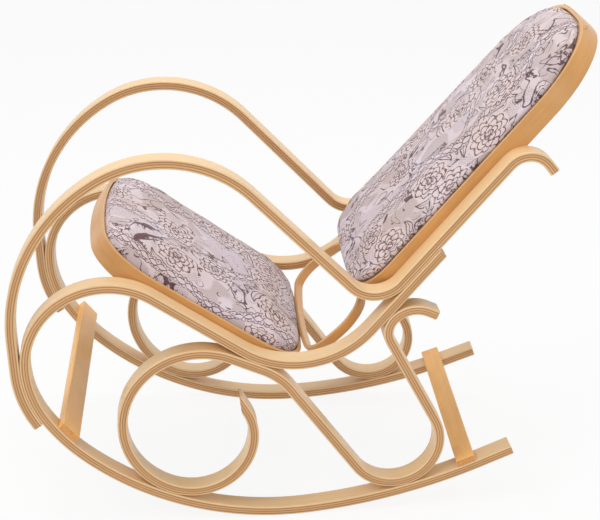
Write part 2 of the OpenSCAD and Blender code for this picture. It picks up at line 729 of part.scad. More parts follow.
module seat_board() {
    color("Khaki") difference() {
        seat_place() translate([0, 0, -seat_board_depth - seat_board_thick])
            linear_extrude(seat_board_thick) outline(seat_shape, hoop_thick + pad_gap);
        seat_board_set(screw_gap);
    }
}

module seat_foam() { color("Ivory") seat_place() foam(seat_shape, seat_board_depth, seat_crown); }
module seat_cover() { color("RosyBrown") seat_place() cover(seat_shape, seat_board_depth, seat_crown); }
module seat_dust_cover() {
    color("DimGray") seat_place() translate([0, 0, -hoop_height])
        linear_extrude(cloth_thick) outline(seat_shape, hoop_thick + fit_gap);
}

module back_hoop() {
    color("Chocolate") difference() {
        back_place() translate([0, 0, -hoop_height]) hoop(back_shape, hoop_height, hoop_thick);
        back_hoop_set(screw_gap);
        back_board_set(screw_gap);
        ring_set(screw_gap);
    }
}

module back_board() {
    color("Khaki") difference() {
        back_place() translate([0, 0, -back_board_depth - back_board_thick])
            linear_extrude(back_board_thick) outline(back_shape, hoop_thick + pad_gap);
        back_board_set(screw_gap);
    }
}

module back_foam() { color("Ivory") back_place() foam(back_shape, back_board_depth, back_crown); }
module back_cover() { color("RosyBrown") back_place() cover(back_shape, back_board_depth, back_crown); }
module back_lining() {
    color("DimGray") back_place() translate([0, 0, -hoop_height])
        linear_extrude(cloth_thick) outline(back_shape, hoop_thick + fit_gap);
}

module arm_front_screws() { color("Gray") for (s = [1, -1]) side(s) arm_front_set(); }
module arm_rear_screws() { color("Gray") for (s = [1, -1]) side(s) arm_rear_set(); }
module scroll_screws() { color("Gray") for (s = [1, -1]) side(s) scroll_set(); }
module stretcher_screws() { color("Gray") for (s = [1, -1]) side(s) stretcher_set(); }
module seat_hoop_screws() { color("Gray") seat_hoop_set(); }
module back_hoop_screws() { color("Gray") back_hoop_set(); }
module ring_screws() { color("Gray") ring_set(); }
module seat_board_screws() { color("Gray") seat_board_set(); }
module back_board_screws() { color("Gray") back_board_set(); }

left_arm_bend();
right_arm_bend();
left_rocker_bend();
right_rocker_bend();
left_scroll_bend();
right_scroll_bend();
front_stretcher();
rear_stretcher();
ring_brace();
seat_hoop();
seat_board();
seat_foam();
seat_cover();
seat_dust_cover();
back_hoop();
back_board();
back_foam();
back_cover();
back_lining();
arm_front_screws();
arm_rear_screws();
scroll_screws();
stretcher_screws();
seat_hoop_screws();
back_hoop_screws();
ring_screws();
seat_board_screws();
back_board_screws();
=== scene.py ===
import math
import bpy
import bmesh
import numpy as np
from mathutils import Matrix, Vector, noise


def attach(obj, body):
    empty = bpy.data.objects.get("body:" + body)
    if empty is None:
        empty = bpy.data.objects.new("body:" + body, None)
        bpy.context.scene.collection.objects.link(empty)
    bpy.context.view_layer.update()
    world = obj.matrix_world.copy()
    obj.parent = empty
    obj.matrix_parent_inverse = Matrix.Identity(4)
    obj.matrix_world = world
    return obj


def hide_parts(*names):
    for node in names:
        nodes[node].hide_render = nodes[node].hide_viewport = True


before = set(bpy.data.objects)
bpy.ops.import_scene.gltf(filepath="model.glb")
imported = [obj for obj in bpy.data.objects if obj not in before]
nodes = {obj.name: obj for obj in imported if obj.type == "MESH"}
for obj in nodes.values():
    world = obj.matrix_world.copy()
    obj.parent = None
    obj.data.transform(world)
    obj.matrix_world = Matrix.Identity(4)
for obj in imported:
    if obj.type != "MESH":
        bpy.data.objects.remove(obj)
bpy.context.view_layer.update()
scene = bpy.context.scene
MM = 0.001

# Camera at the photograph's viewing angle: its place in metres, its directions, lens and sensor in mm
CAMERA_AT = (2.893, -0.186, 1.637)
CAMERA_RIGHT = (0.0645, 0.9979, 0)
CAMERA_LOOK = (-0.9228, 0.0597, -0.3806)
LENS, SENSOR = 90.66, 36


def make_camera():
    camera = bpy.data.objects.new("photo_camera", bpy.data.cameras.new("photo_camera"))
    scene.collection.objects.link(camera)
    camera.data.sensor_width = SENSOR
    camera.data.lens = LENS
    camera.data.clip_end = 100
    right = Vector(CAMERA_RIGHT).normalized()
    look = Vector(CAMERA_LOOK).normalized()
    up = right.cross(look).normalized()
    turn = Matrix((right, up, -look)).transposed().to_4x4()
    camera.matrix_world = Matrix.Translation(CAMERA_AT) @ turn
    scene.camera = camera


make_camera()

# The CAD model's own sizes, in mm and degrees: the strip and the side frames
STRIP_WIDTH, STRIP_THICK, STRIP_EDGE, FIT_GAP = 41, 19.6, 2.6, 0.3
FRAME_HALF, TOE_IN = 270, 2.8
# the rocker bend, from its keel forwards and up, and back to its heel
KEEL_PLACE, KEEL_R, KEEL_TURN = -29.6, 593, 41
BOW_R, BOW_TURN, FRONT_R, FRONT_TURN, TOP_R = 388, 17, 212.5, 32, 157
HEEL_START, HEEL_R, HEEL_TURN, HEEL_RUN = 4.2, 1168, 18, 67
SUPPORT_SLOPE, SUPPORT_RUN, VALLEY_R = 34.5, 205.5, 188.5
BACK_SLOPE, ROCKER_BACK_RUN = 48.9, 206
# the arm bend
ARM_LAP_TURN, ARM_LEAN, ARM_RISE, ARM_FRONT_R = 31, 92, 65, 345
ARM_PEAK, ARM_TOP_R, ARM_FALL, ARM_VALLEY_R = 31, 238, 45.5, 66
ARM_BACK_RUN, ARM_CURL_R, ARM_CURL_TURN, ARM_TAIL = 306, 48, 100, 20
# the scroll bend
SCROLL_SLOPE, SCROLL_LEAD, SCROLL_TRAIL, KNEE_R = 24.4, 48, 21, 130
LOOP_LOW_R, LOOP_LOW_TURN, LOOP_END_R, LOOP_END_TURN, LOOP_END_RUN = 118, 123, 97, 21, 34
BEVEL_ANGLE, CUT_SHARE = 24, 0.45
U_PLACE, U_R, RISE_HEADING = 189.5, 92, 117.7
CURL_R, CURL_TURN, CURL_END_R, CURL_END_TURN, CURL_TAIL = 41, 72, 58, 71, 20
# the stretchers
FRONT_BAR_ANGLE, FRONT_BAR_WIDTH, FRONT_BAR_THICK = 50.6, 45, 18
REAR_BAR_ANGLE, REAR_BAR_WIDTH, REAR_BAR_THICK = 20.8, 39, 15
BAR_SINK, BAR_EDGE = 0.6, 2.2
# the hoops and the ring brace
HOOP_THICK, HOOP_HEIGHT, HOOP_EDGE = 9, 42, 1.6
SEAT_RISE, SEAT_FRONT, SEAT_REAR = 22.4, 346, 137.5
SEAT_FRONT_R, SEAT_REAR_R, SEAT_BOW_R, SEAT_TAIL_R = 118, 102, 1100, 2500
BACK_RISE, BACK_LOW, BACK_HIGH = 29.5, 90, 590
BACK_LOW_R, BACK_HIGH_R, BACK_FOOT_R, BACK_BOW_R = 92, 168, 2500, 900
RING_WIDTH, RING_HALF, RING_BOW_R, RING_GAP = 19, 203, 1500, 1.6
RING_FRONT_SHARE, RING_REAR_SHARE, RING_MEET_SHARE = 0.32, 0.45, 0.88


def ahead(h):
    """The unit vector along the heading h, in degrees, on a drawing plane."""
    return np.array([math.cos(math.radians(h)), math.sin(math.radians(h))])


def aside(h):
    """The unit vector to the left of the heading h."""
    return np.array([-math.sin(math.radians(h)), math.cos(math.radians(h))])


def cross2(a, b):
    return a[0] * b[1] - a[1] * b[0]


def heading(v):
    return math.degrees(math.atan2(v[1], v[0]))


def arc_length(turn, r):
    return abs(turn) * math.pi / 180 * r


# The rocker bend's centres (_c) and headings (_h)
lap = STRIP_THICK + FIT_GAP
keel_c = np.array([KEEL_PLACE, KEEL_R + STRIP_THICK / 2])
bow_h = -KEEL_TURN
bow_c = keel_c - (KEEL_R - BOW_R) * aside(bow_h)
front_h = bow_h - BOW_TURN
front_c = bow_c - (BOW_R - FRONT_R) * aside(front_h)
top_h = front_h - FRONT_TURN
top_c = front_c - (FRONT_R - TOP_R) * aside(top_h)
support_h = -180 - SUPPORT_SLOPE
support_low = top_c - TOP_R * aside(support_h) - SUPPORT_RUN * ahead(support_h)
valley_c = support_low - VALLEY_R * aside(support_h)
run_start = valley_c - VALLEY_R * aside(BACK_SLOPE)
heel_c = keel_c - (KEEL_R - HEEL_R) * aside(HEEL_START)

# The arm bend: its fall is as long as it takes to come down onto the rocker bend's back run
arm_lap_r = FRONT_R + lap
arm_rise_end = front_c + arm_lap_r * aside(ARM_LEAN) + ARM_RISE * ahead(ARM_LEAN)
arm_front_c = arm_rise_end - ARM_FRONT_R * aside(ARM_LEAN)
arm_top_c = arm_front_c + (ARM_FRONT_R - ARM_TOP_R) * aside(ARM_PEAK)
fall_start = arm_top_c + ARM_TOP_R * aside(-ARM_FALL)
arm_line = run_start + lap * aside(BACK_SLOPE)
arm_cross = cross2(ahead(-ARM_FALL), ahead(BACK_SLOPE))
arm_tangent = ARM_VALLEY_R * math.tan(math.radians((ARM_FALL + BACK_SLOPE) / 2))
arm_fall_run = cross2(arm_line - fall_start, ahead(BACK_SLOPE)) / arm_cross - arm_tangent
arm_run_at = cross2(arm_line - fall_start, ahead(-ARM_FALL)) / arm_cross + arm_tangent
arm_run_start = arm_line + arm_run_at * ahead(BACK_SLOPE)

# The scroll bend: it touches the valley of the seat support, the runner twice and the back run
touch_p = valley_c - (VALLEY_R + lap) * aside(-SCROLL_SLOPE)
lead_p = touch_p - SCROLL_LEAD * ahead(-SCROLL_SLOPE)
lead_v = lead_p - keel_c
reach = KEEL_R - lap
loop_r = (reach ** 2 - lead_v @ lead_v) / (2 * (reach - lead_v @ aside(-SCROLL_SLOPE)))
loop_c = lead_p - loop_r * aside(-SCROLL_SLOPE)
down = loop_c - keel_c
loop_h = math.degrees(math.atan2(-down[0], down[1]))
knee_c = touch_p + SCROLL_TRAIL * ahead(-SCROLL_SLOPE) - KNEE_R * aside(-SCROLL_SLOPE)
u_drop = math.sqrt((HEEL_R - lap - U_R) ** 2 - (U_PLACE - heel_c[0]) ** 2)
u_c = np.array([U_PLACE, heel_c[1] - u_drop])
knee_v = u_c - knee_c
fall_h = heading(knee_v) - math.degrees(math.asin((U_R + KNEE_R) / np.linalg.norm(knee_v)))
scroll_fall = knee_c + KNEE_R * aside(fall_h)
scroll_fall_run = np.linalg.norm(u_c - U_R * aside(fall_h) - scroll_fall)
rise_start = u_c - U_R * aside(RISE_HEADING)
rise_short = (rise_start - CURL_R * aside(RISE_HEADING) - run_start) @ aside(BACK_SLOPE)
rise_run = (-(lap + CURL_R) - rise_short) / (ahead(RISE_HEADING) @ aside(BACK_SLOPE))
low_h = loop_h + LOOP_LOW_TURN
end_h = low_h + LOOP_END_TURN
end_c = loop_c + (loop_r - LOOP_LOW_R) * aside(loop_h) + (LOOP_LOW_R - LOOP_END_R) * aside(low_h)
tip = end_c + LOOP_END_R * aside(end_h)

# The chair's own frame: Y from a place along a side frame, and X of a side frame's inner face
inner_half = FRAME_HALF - STRIP_WIDTH
sin_toe, cos_toe = math.sin(math.radians(TOE_IN)), math.cos(math.radians(TOE_IN))


def frame_y(s):
    return inner_half * sin_toe + s * cos_toe


hoop_top = (BACK_RISE - HOOP_HEIGHT) * aside(BACK_SLOPE) + BACK_HIGH * ahead(BACK_SLOPE)
foremost = arm_front_c[0] - ARM_FRONT_R - STRIP_THICK / 2
middle_y = (frame_y(foremost) + frame_y(arm_run_start[0]) + hoop_top[0]) / 2


def side_y(s):
    return frame_y(s) - middle_y


def inner_x(y):
    return (inner_half - (y + middle_y) * sin_toe) / cos_toe


seat_o = np.array([side_y(support_low[0]), support_low[1]]) + SEAT_RISE * ahead(90 - SUPPORT_SLOPE)
back_o = np.array([side_y(arm_run_start[0]), arm_run_start[1]]) + BACK_RISE * aside(BACK_SLOPE)


def corner_depth(r, bow_r, x):
    """How far in from a bowed end the centre of its corner lies, x from the middle."""
    return bow_r - math.sqrt((bow_r - r) ** 2 - x * x)


class Outline:
    """A hoop's plan: half widths narrow from one end to the other, with round corners and bowed ends."""

    def __init__(self, half_x, low, low_r, high, high_r, low_bow_r, high_bow_r, taper=0):
        k = math.sqrt(1 + taper * taper)
        x = (half_x(low_r - low) - low_r * k, half_x(high - high_r) - high_r * k)
        self.radii = (low_r, high_r)
        self.centres = (np.array([x[0], corner_depth(low_r, low_bow_r, x[0]) - low]),
                        np.array([x[1], high - corner_depth(high_r, high_bow_r, x[1])]))
        self.bows = ((low_bow_r - low, low_bow_r), (high - high_bow_r, high_bow_r))
        d = self.centres[1] - self.centres[0]
        self.side = heading(d) - math.degrees(math.acos((low_r - high_r) / np.linalg.norm(d)))
        self.ends = [heading(c - np.array([0, bow[0]])) for c, bow in zip(self.centres, self.bows)]

    def middle(self):
        """The place halfway between the two ends' corner centres."""
        return (self.centres[0][1] + self.centres[1][1]) / 2

    def points(self, inset, step):
        """Points and outward normals once round, from the middle of the high end."""
        half = []

        def arc(c, r, a, b):
            n = max(3, int(arc_length(b - a, r) / step))
            for k in range(n):
                t = ahead(a + (b - a) * k / n)
                half.append((np.array(c) + (r - inset) * t, t))

        arc((0, self.bows[0][0]), self.bows[0][1], -90, self.ends[0])
        arc(self.centres[0], self.radii[0], self.ends[0], self.side)
        a, b = [c + (r - inset) * ahead(self.side) for c, r in zip(self.centres, self.radii)]
        n = max(2, int(np.linalg.norm(b - a) / step))
        half += [(a + (b - a) * k / n, ahead(self.side)) for k in range(n)]
        arc(self.centres[1], self.radii[1], self.side, self.ends[1])
        arc((0, self.bows[1][0]), self.bows[1][1], self.ends[1], 90)
        flip = np.array([-1, 1])
        top = [(np.array([0, sum(self.bows[1]) - inset]), np.array([0, 1.0]))]
        return top + [(p * flip, n * flip) for p, n in half[:0:-1]] + half


def hoop_plan(origin, slope, low, low_r, high, high_r, low_bow_r, high_bow_r):
    """The plan of a hoop that fits between the side frames' inner faces, up its slope."""
    rise = math.cos(math.radians(slope))

    def half_x(u):
        return inner_x(origin[0] + u * rise) - FIT_GAP

    taper = (inner_x(origin[0]) - inner_x(origin[0] + high * rise)) / high
    return Outline(half_x, low, low_r, high, high_r, low_bow_r, high_bow_r, taper)


seat_plan = hoop_plan(seat_o, SUPPORT_SLOPE, SEAT_FRONT, SEAT_FRONT_R, SEAT_REAR, SEAT_REAR_R,
                      SEAT_BOW_R, SEAT_TAIL_R)
back_plan = hoop_plan(back_o, BACK_SLOPE, BACK_LOW, BACK_LOW_R, BACK_HIGH, BACK_HIGH_R,
                      BACK_FOOT_R, BACK_BOW_R)
ring_a = seat_o + SEAT_REAR * ahead(-SUPPORT_SLOPE)
ring_b = back_o - BACK_LOW * ahead(BACK_SLOPE) - RING_MEET_SHARE * HOOP_HEIGHT * aside(BACK_SLOPE)
ring_v = ring_b - ring_a
ring_len = np.linalg.norm(ring_v) - FIT_GAP - RING_GAP
ring_plan = Outline(lambda u: RING_HALF, 0, RING_FRONT_SHARE * ring_len, ring_len,
                    RING_REAR_SHARE * ring_len, RING_BOW_R, RING_BOW_R)


def placed(origin, tilt):
    """Matrix, in metres, from a drawing in mm on a tilted plane (x across, y along, z up from it)."""
    return (Matrix.Translation((0, origin[0] * MM, origin[1] * MM))
            @ Matrix.Rotation(math.radians(tilt), 4, "X") @ Matrix.Scale(MM, 4))


seat_m = placed(seat_o, -SUPPORT_SLOPE)
back_m = placed(back_o, BACK_SLOPE)
ring_m = placed(ring_a + FIT_GAP * ring_v / np.linalg.norm(ring_v), heading(ring_v))


def side_m(s):
    """Matrix, in metres, from a side frame's drawing in mm; side 1 is the left and -1 the right."""
    turn = Matrix(((0, 0, 1, 0), (1, 0, 0, 0), (0, 1, 0, 0), (0, 0, 0, 1)))
    return (Matrix.Diagonal((s * MM, MM, MM, 1)) @ Matrix.Translation((0, -middle_y, 0))
            @ Matrix.Rotation(math.radians(TOE_IN), 4, "Z") @ Matrix.Translation((inner_half, 0, 0)) @ turn)


# Shader nodes written as sums
def feed(tree, value, socket):
    """Links a socket, wrapped or not, to a node's input, or sets the input to a plain value."""
    if isinstance(value, Sock):
        tree.links.new(value.socket, socket)
    elif isinstance(value, bpy.types.NodeSocket):
        tree.links.new(value, socket)
    else:
        socket.default_value = value


def fill(node, **values):
    """Sets a node's inputs by name, with _ for a space."""
    for name, value in values.items():
        node.inputs[name.replace("_", " ")].default_value = value


def maths(operation):
    """A method of Sock for one of Blender's maths operations."""
    return lambda self, *values: self.node(operation, *values)


class Sock:
    """Wraps a node socket, so that a pattern is written as a sum."""

    def __init__(self, tree, socket):
        self.tree, self.socket = tree, socket

    def node(self, operation, *values, clamp=False):
        n = self.tree.nodes.new("ShaderNodeMath")
        n.operation = operation
        n.use_clamp = clamp
        for value, socket in zip((self,) + values, n.inputs):
            feed(self.tree, value, socket)
        return Sock(self.tree, n.outputs[0])

    __add__ = __radd__ = maths("ADD")
    __sub__ = maths("SUBTRACT")
    __mul__ = __rmul__ = maths("MULTIPLY")
    __truediv__ = maths("DIVIDE")
    abs = maths("ABSOLUTE")
    sin = maths("SINE")
    sqrt = maths("SQRT")
    fract = maths("FRACT")
    floor = maths("FLOOR")
    max = maths("MAXIMUM")
    atan2 = maths("ARCTAN2")
    above = maths("GREATER_THAN")
    below = maths("LESS_THAN")

    def __rsub__(self, other):
        return self.node("MULTIPLY", -1).node("ADD", other)

    def clamp(self):
        return self.node("ADD", 0, clamp=True)

    def step(self, a, b):
        """Smoothly 0 below a and 1 above b, or the other way when a is larger."""
        n = self.tree.nodes.new("ShaderNodeMapRange")
        n.interpolation_type = "SMOOTHSTEP"
        self.tree.links.new(self.socket, n.inputs["Value"])
        fill(n, From_Min=min(a, b), From_Max=max(a, b), To_Min=float(a > b), To_Max=float(a < b))
        return Sock(self.tree, n.outputs[0])


class Mat:
    """A material with its principled shader, and short calls that add nodes."""

    def __init__(self, name, rough, **values):
        self.material = bpy.data.materials.new(name)
        self.material.use_nodes = True
        self.tree = self.material.node_tree
        self.shader = self.tree.nodes["Principled BSDF"]
        fill(self.shader, Roughness=rough, **values)

    def new(self, kind, **props):
        n = self.tree.nodes.new("ShaderNode" + kind)
        for key, value in props.items():
            setattr(n, key, value)
        return n

    def link(self, value, socket):
        feed(self.tree, value, socket)

    def split(self, vector):
        n = self.new("SeparateXYZ")
        self.link(vector, n.inputs[0])
        return [Sock(self.tree, o) for o in n.outputs]

    def vec(self, x, y, z=0.0):
        n = self.new("CombineXYZ")
        for a, socket in zip((x, y, z), n.inputs):
            self.link(a, socket)
        return n.outputs[0]

    def attribute(self, name):
        return self.new("Attribute", attribute_name=name).outputs["Vector"]

    def noise(self, vector, scale, detail=2.0, rough=0.5, distortion=0.0, colour=False):
        n = self.new("TexNoise")
        self.link(vector, n.inputs["Vector"])
        fill(n, Scale=scale, Detail=detail, Roughness=rough, Distortion=distortion)
        return n.outputs["Color"] if colour else Sock(self.tree, n.outputs[0])

    def mix(self, share, a, b):
        n = self.new("Mix", data_type="RGBA")
        self.link(share, n.inputs["Factor"])
        self.link(a, n.inputs[6])
        self.link(b, n.inputs[7])
        return n.outputs[2]

    def scale_colour(self, colour, k):
        """colour times a number that varies."""
        n = self.new("VectorMath", operation="SCALE")
        self.link(colour, n.inputs[0])
        self.link(k, n.inputs["Scale"])
        return n.outputs[0]

    def colour(self, c):
        self.link(c, self.shader.inputs["Base Color"])

    def roughness(self, value):
        self.link(value, self.shader.inputs["Roughness"])

    def bump(self, height, distance, strength):
        n = self.new("Bump")
        fill(n, Distance=distance, Strength=strength)
        self.link(height, n.inputs["Height"])
        self.link(n.outputs[0], self.shader.inputs["Normal"])


def rgb(*values):
    """A colour given by its screen values, 11 to 255."""
    return tuple(((v / 255 + 0.055) / 1.055) ** 2.4 for v in values) + (1.0,)


def blended(a, b, share):
    """Colour a with a share of colour b."""
    return tuple((1 - share) * p + share * q for p, q in zip(a, b))


# Wood
def wood(name, face, edge, dark, layers, thick, blotch, offset=0.0, end=None):
    """Lacquered veneers: fine grain along the strip on its wide faces, glue lines on its edges.
    The attribute along is length, depth from the middle, and place across the width, in metres."""
    m = Mat(name, 0.36, Coat_Weight=0.25, Coat_Roughness=0.22)
    s, w, q = m.split(m.attribute("along"))

    # the wide faces: long grain, slow streaks, cloudy blotches and short dark flecks
    grain = m.noise(m.vec(s * 6, w * 150, q * 190), 1, 4, 0.6, 0.4)
    streak = m.noise(m.vec(s * 2.2, w * 60, q * 60), 1, 2, 0.5, 0.6)
    cloud = m.noise(m.vec(s * 9, w * 20, q * 22), 1, 3, 0.55, 0.8)
    fleck = m.noise(m.vec(s * 160, w * 300, q * 700), 1, 1, 0.5).step(0.68, 0.78)
    tone = 0.83 + 0.20 * grain + 0.14 * (streak - 0.5) + blotch * (cloud - 0.5) - 0.08 * fleck
    wide = m.mix((streak * 1.8 - 0.4).clamp(), face, blended(face, dark, 0.14))
    wide = m.scale_colour(wide, tone + 0.06)

    # the edges: veneers of slightly different tone, with broken glue lines between them
    ply_thick = thick / layers
    waver = 0.10 * (m.noise(m.vec(s * 3, offset), 1, 1) - 0.5)
    depth = (w + thick / 2 * MM) / (ply_thick * MM) + waver
    ply_tone = m.noise(m.vec(depth.floor() * 7.31, s * 0.35, offset), 1, 1)
    side = m.mix((ply_tone * 3.0 - 1.0).clamp(), edge, blended(edge, dark, 0.30))
    side = m.scale_colour(side, 0.90 + 0.20 * m.noise(m.vec(s * 10, w * 420, q * 110), 1, 2, 0.55))
    glue = ((depth.fract() - 0.5).abs() - 0.5).abs()
    glue_shown = 0.30 + 1.1 * m.noise(m.vec(s * 5, depth.floor() * 3.7, offset), 1, 2)
    side = m.mix((glue.step(0.26, 0.06) * glue_shown * 0.85).clamp(), side, dark)

    # where the face colour lies, on the outer veneers: on the strips its paleness over the edges is partly
    # the veneer's own and partly painted light from above
    outer = (w.abs() * 1000).step(thick / 2 - 0.80 * ply_thick, thick / 2 - 0.35 * ply_thick)
    tint = m.mix(outer, side, wide)
    if end is not None:
        # end grain on the faces that look sideways
        sideways = m.split(m.new("TexCoord").outputs["Normal"])[0].abs()
        rings = (cloud * 60).sin().step(-0.2, 0.9)
        tint = m.mix(sideways.step(0.80, 0.90) * (0.75 + 0.25 * rings), tint, end)
    m.colour(tint)
    m.roughness(0.30 + 0.14 * grain + 0.08 * (1 - outer))
    m.bump(0.5 * grain - 0.5 * fleck + glue.step(0.0, 0.16) * (1 - outer) * 0.7, 0.00018, 0.6)
    return m.material


# the strips' pale face colour is partly the veneer's own and partly painted light from above, laid on both
# wide faces alike
strip_wood = wood("bent_birch", rgb(236, 200, 150), rgb(222, 172, 115), rgb(132, 82, 44),
                  4, STRIP_THICK, 0.08)
hoop_wood = wood("hoop_birch", rgb(214, 156, 88), rgb(240, 198, 140), rgb(136, 82, 38),
                 3, HOOP_THICK, 0.32, 3.0)
bar_wood = wood("bar_birch", rgb(252, 190, 104), rgb(252, 204, 132), rgb(176, 108, 52),
                1.4, REAR_BAR_THICK, 0.30, 5.0, rgb(204, 138, 72))


# Plywood, plugs and screws: two tones by a noise that is stretched along the object's axes
def two_tone(name, rough, low, high, stretch, detail, fibre=0.5, distortion=0.0, **values):
    """A material between two tones, and the noise that mixes them."""
    m = Mat(name, rough, **values)
    own = m.split(m.new("TexCoord").outputs["Object"])
    place = m.vec(*(a * k for a, k in zip(own, stretch)))
    grain = m.noise(place, 1, detail, fibre, distortion)
    m.colour(m.mix(grain, low, high))
    return m, grain


plywood, grain = two_tone("board_plywood", 0.6, rgb(196, 160, 116), rgb(222, 190, 146),
                          (12, 160, 160), 4, 0.6, 0.5)
plywood.bump(grain, 0.0003, 0.4)
plug, grain = two_tone("plug_birch", 0.4, rgb(206, 168, 120), rgb(234, 206, 164),
                       (900, 240, 240), 3, Coat_Weight=0.2, Coat_Roughness=0.25)
plug.bump(grain, 0.0001, 0.4)
steel, grain = two_tone("screw_steel", 0.34, rgb(120, 116, 108), rgb(176, 172, 162),
                        (900, 900, 900), 3, Metallic=1.0)
steel.roughness(0.28 + 0.2 * grain)
# painted shade: the cross recess is not cut, and this dark colour stands for the shade in its hollow
recess_shade, grain = two_tone("screw_recess_shade", 0.7, rgb(40, 34, 30), rgb(66, 58, 50), (1200, 1200, 1200), 2)

# Swept strips: their attribute along is the place in the wood, as length, depth and width
SHARP_ANGLE = 32
END_CHAMFER = 0.9
LINE_STEP, ARC_STEP = 18, 6


def new_object(name, bm):
    """A scene object made of a bmesh, which is freed."""
    mesh = bpy.data.meshes.new(name)
    bm.to_mesh(mesh)
    bm.free()
    o = bpy.data.objects.new(name, mesh)
    scene.collection.objects.link(o)
    return o


def finish_piece(name, bm, materials, node):
    """Makes a rigid piece of a bmesh, in place of a CAD node."""
    bmesh.ops.recalc_face_normals(bm, faces=bm.faces)
    o = new_object(name, bm)
    for material in materials:
        o.data.materials.append(material)
    o.data.shade_smooth()
    o.data.set_sharp_from_angle(angle=math.radians(SHARP_ANGLE))
    weighted = o.modifiers.new("weighted", "WEIGHTED_NORMAL")
    weighted.keep_sharp = True
    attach(o, "root")
    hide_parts(node)


def section(w0, w1, q0, q1, r, n):
    """Rounded rectangle of depth w and width q, in mm, with n faces round each corner."""
    pts = []
    for w, q, a in ((w1 - r, q1 - r, 0), (w0 + r, q1 - r, 90), (w0 + r, q0 + r, 180), (w1 - r, q0 + r, 270)):
        for k in range(n + 1):
            t = ahead(a + 90 * k / n)
            pts.append((w + r * t[0], q + r * t[1]))
    return pts


def chamfered(path):
    """The path with its ends drawn in, and a last station beyond each where the section is less."""
    stations = [(p, n, s, 0.0) for p, n, s in path]
    (p0, n0, s0, _), (p1, n1, s1, _) = stations[0], stations[-1]
    t0, t1 = np.array([n0[1], -n0[0]]), np.array([n1[1], -n1[0]])
    stations[0] = (p0 + END_CHAMFER * t0, n0, s0 + END_CHAMFER, 0.0)
    stations[-1] = (p1 - END_CHAMFER * t1, n1, s1 - END_CHAMFER, 0.0)
    return [(p0, n0, s0, END_CHAMFER)] + stations + [(p1, n1, s1, END_CHAMFER)]


def sweep(path, pts, matrix, closed, start):
    """Sweeps a section along a path of (point, normal, length) on a drawing plane."""
    bm = bmesh.new()
    layer = bm.loops.layers.float_vector.new("along")
    mean = np.mean(pts, 0)
    mid_w = (min(w for w, _ in pts) + max(w for w, _ in pts)) / 2
    stations = [(p, n, s, 0.0) for p, n, s in path] if closed else chamfered(path)
    rings = []
    for p, n, s, less in stations:
        ring = []
        for w, q in pts:
            if less:
                d = np.array([w, q]) - mean
                w, q = mean + np.sign(d) * np.maximum(np.abs(d) - less, 0)
            x, y = p + w * n
            at = (start + s * MM, (w - mid_w) * MM, q * MM)
            ring.append((bm.verts.new(matrix @ Vector((x, y, q))), at))
        rings.append(ring)
    closing = path[-1][2] + np.linalg.norm(path[0][0] - path[-1][0])
    for i in range(len(rings) if closed else len(rings) - 1):
        a, b = rings[i], rings[(i + 1) % len(rings)]
        if i == len(rings) - 1:
            b = [(v, (start + closing * MM, at[1], at[2])) for v, at in b]
        for j in range(len(pts)):
            k = (j + 1) % len(pts)
            face_on(bm, layer, (a[j], a[k], b[k], b[j]))
    if not closed:
        face_on(bm, layer, rings[0])
        face_on(bm, layer, rings[-1])
    return bm


def face_on(bm, layer, corners):
    """A face on corners of (vertex, along)."""
    f = bm.faces.new([v for v, _ in corners])
    for loop, (_, at) in zip(f.loops, corners):
        loop[layer] = Vector(at)


def chain(p, h, parts):
    """Path from p along heading h: ("line", length) and ("arc", radius, turn), a left turn positive."""
    p = np.array(p, float)
    path, s = [(p.copy(), aside(h), 0.0)], 0.0
    for kind, *v in parts:
        if kind == "line":
            n = max(1, int(v[0] / LINE_STEP))
            for _ in range(n):
                p = p + v[0] / n * ahead(h)
                s += v[0] / n
                path.append((p.copy(), aside(h), s))
        else:
            r, turn = v
            n = max(4, int(arc_length(turn, r) / ARC_STEP))
            side = 1 if turn > 0 else -1
            c = p + side * r * aside(h)
            for k in range(1, n + 1):
                a = h + turn * k / n
                path.append((c - side * r * aside(a), aside(a), s + arc_length(turn, r) * k / n))
            p, h, s = path[-1][0].copy(), h + turn, path[-1][2]
    return path


strip_paths = {
    "arm": chain(front_c + arm_lap_r * aside(ARM_LEAN + ARM_LAP_TURN), ARM_LEAN + ARM_LAP_TURN, [
        ("arc", arm_lap_r, -ARM_LAP_TURN), ("line", ARM_RISE), ("arc", ARM_FRONT_R, ARM_PEAK - ARM_LEAN),
        ("arc", ARM_TOP_R, -ARM_FALL - ARM_PEAK), ("line", arm_fall_run),
        ("arc", ARM_VALLEY_R, ARM_FALL + BACK_SLOPE), ("line", ARM_BACK_RUN),
        ("arc", ARM_CURL_R, -ARM_CURL_TURN), ("line", ARM_TAIL)]),
    "rocker": chain(run_start + ROCKER_BACK_RUN * ahead(BACK_SLOPE), BACK_SLOPE + 180, [
        ("line", ROCKER_BACK_RUN), ("arc", VALLEY_R, -SUPPORT_SLOPE - BACK_SLOPE), ("line", SUPPORT_RUN),
        ("arc", TOP_R, top_h - support_h), ("arc", FRONT_R, FRONT_TURN), ("arc", BOW_R, BOW_TURN),
        ("arc", KEEL_R, KEEL_TURN + HEEL_START), ("arc", HEEL_R, HEEL_TURN), ("line", HEEL_RUN)]),
    "scroll": chain(tip - LOOP_END_RUN * ahead(end_h), end_h, [
        ("line", LOOP_END_RUN), ("arc", LOOP_END_R, -LOOP_END_TURN), ("arc", LOOP_LOW_R, -LOOP_LOW_TURN),
        ("arc", loop_r, -SCROLL_SLOPE - loop_h), ("line", SCROLL_LEAD + SCROLL_TRAIL),
        ("arc", KNEE_R, fall_h + SCROLL_SLOPE), ("line", scroll_fall_run),
        ("arc", U_R, RISE_HEADING - fall_h), ("line", rise_run), ("arc", CURL_R, -CURL_TURN),
        ("arc", CURL_END_R, -CURL_END_TURN), ("line", CURL_TAIL)])}
BEVEL_REACH = 75


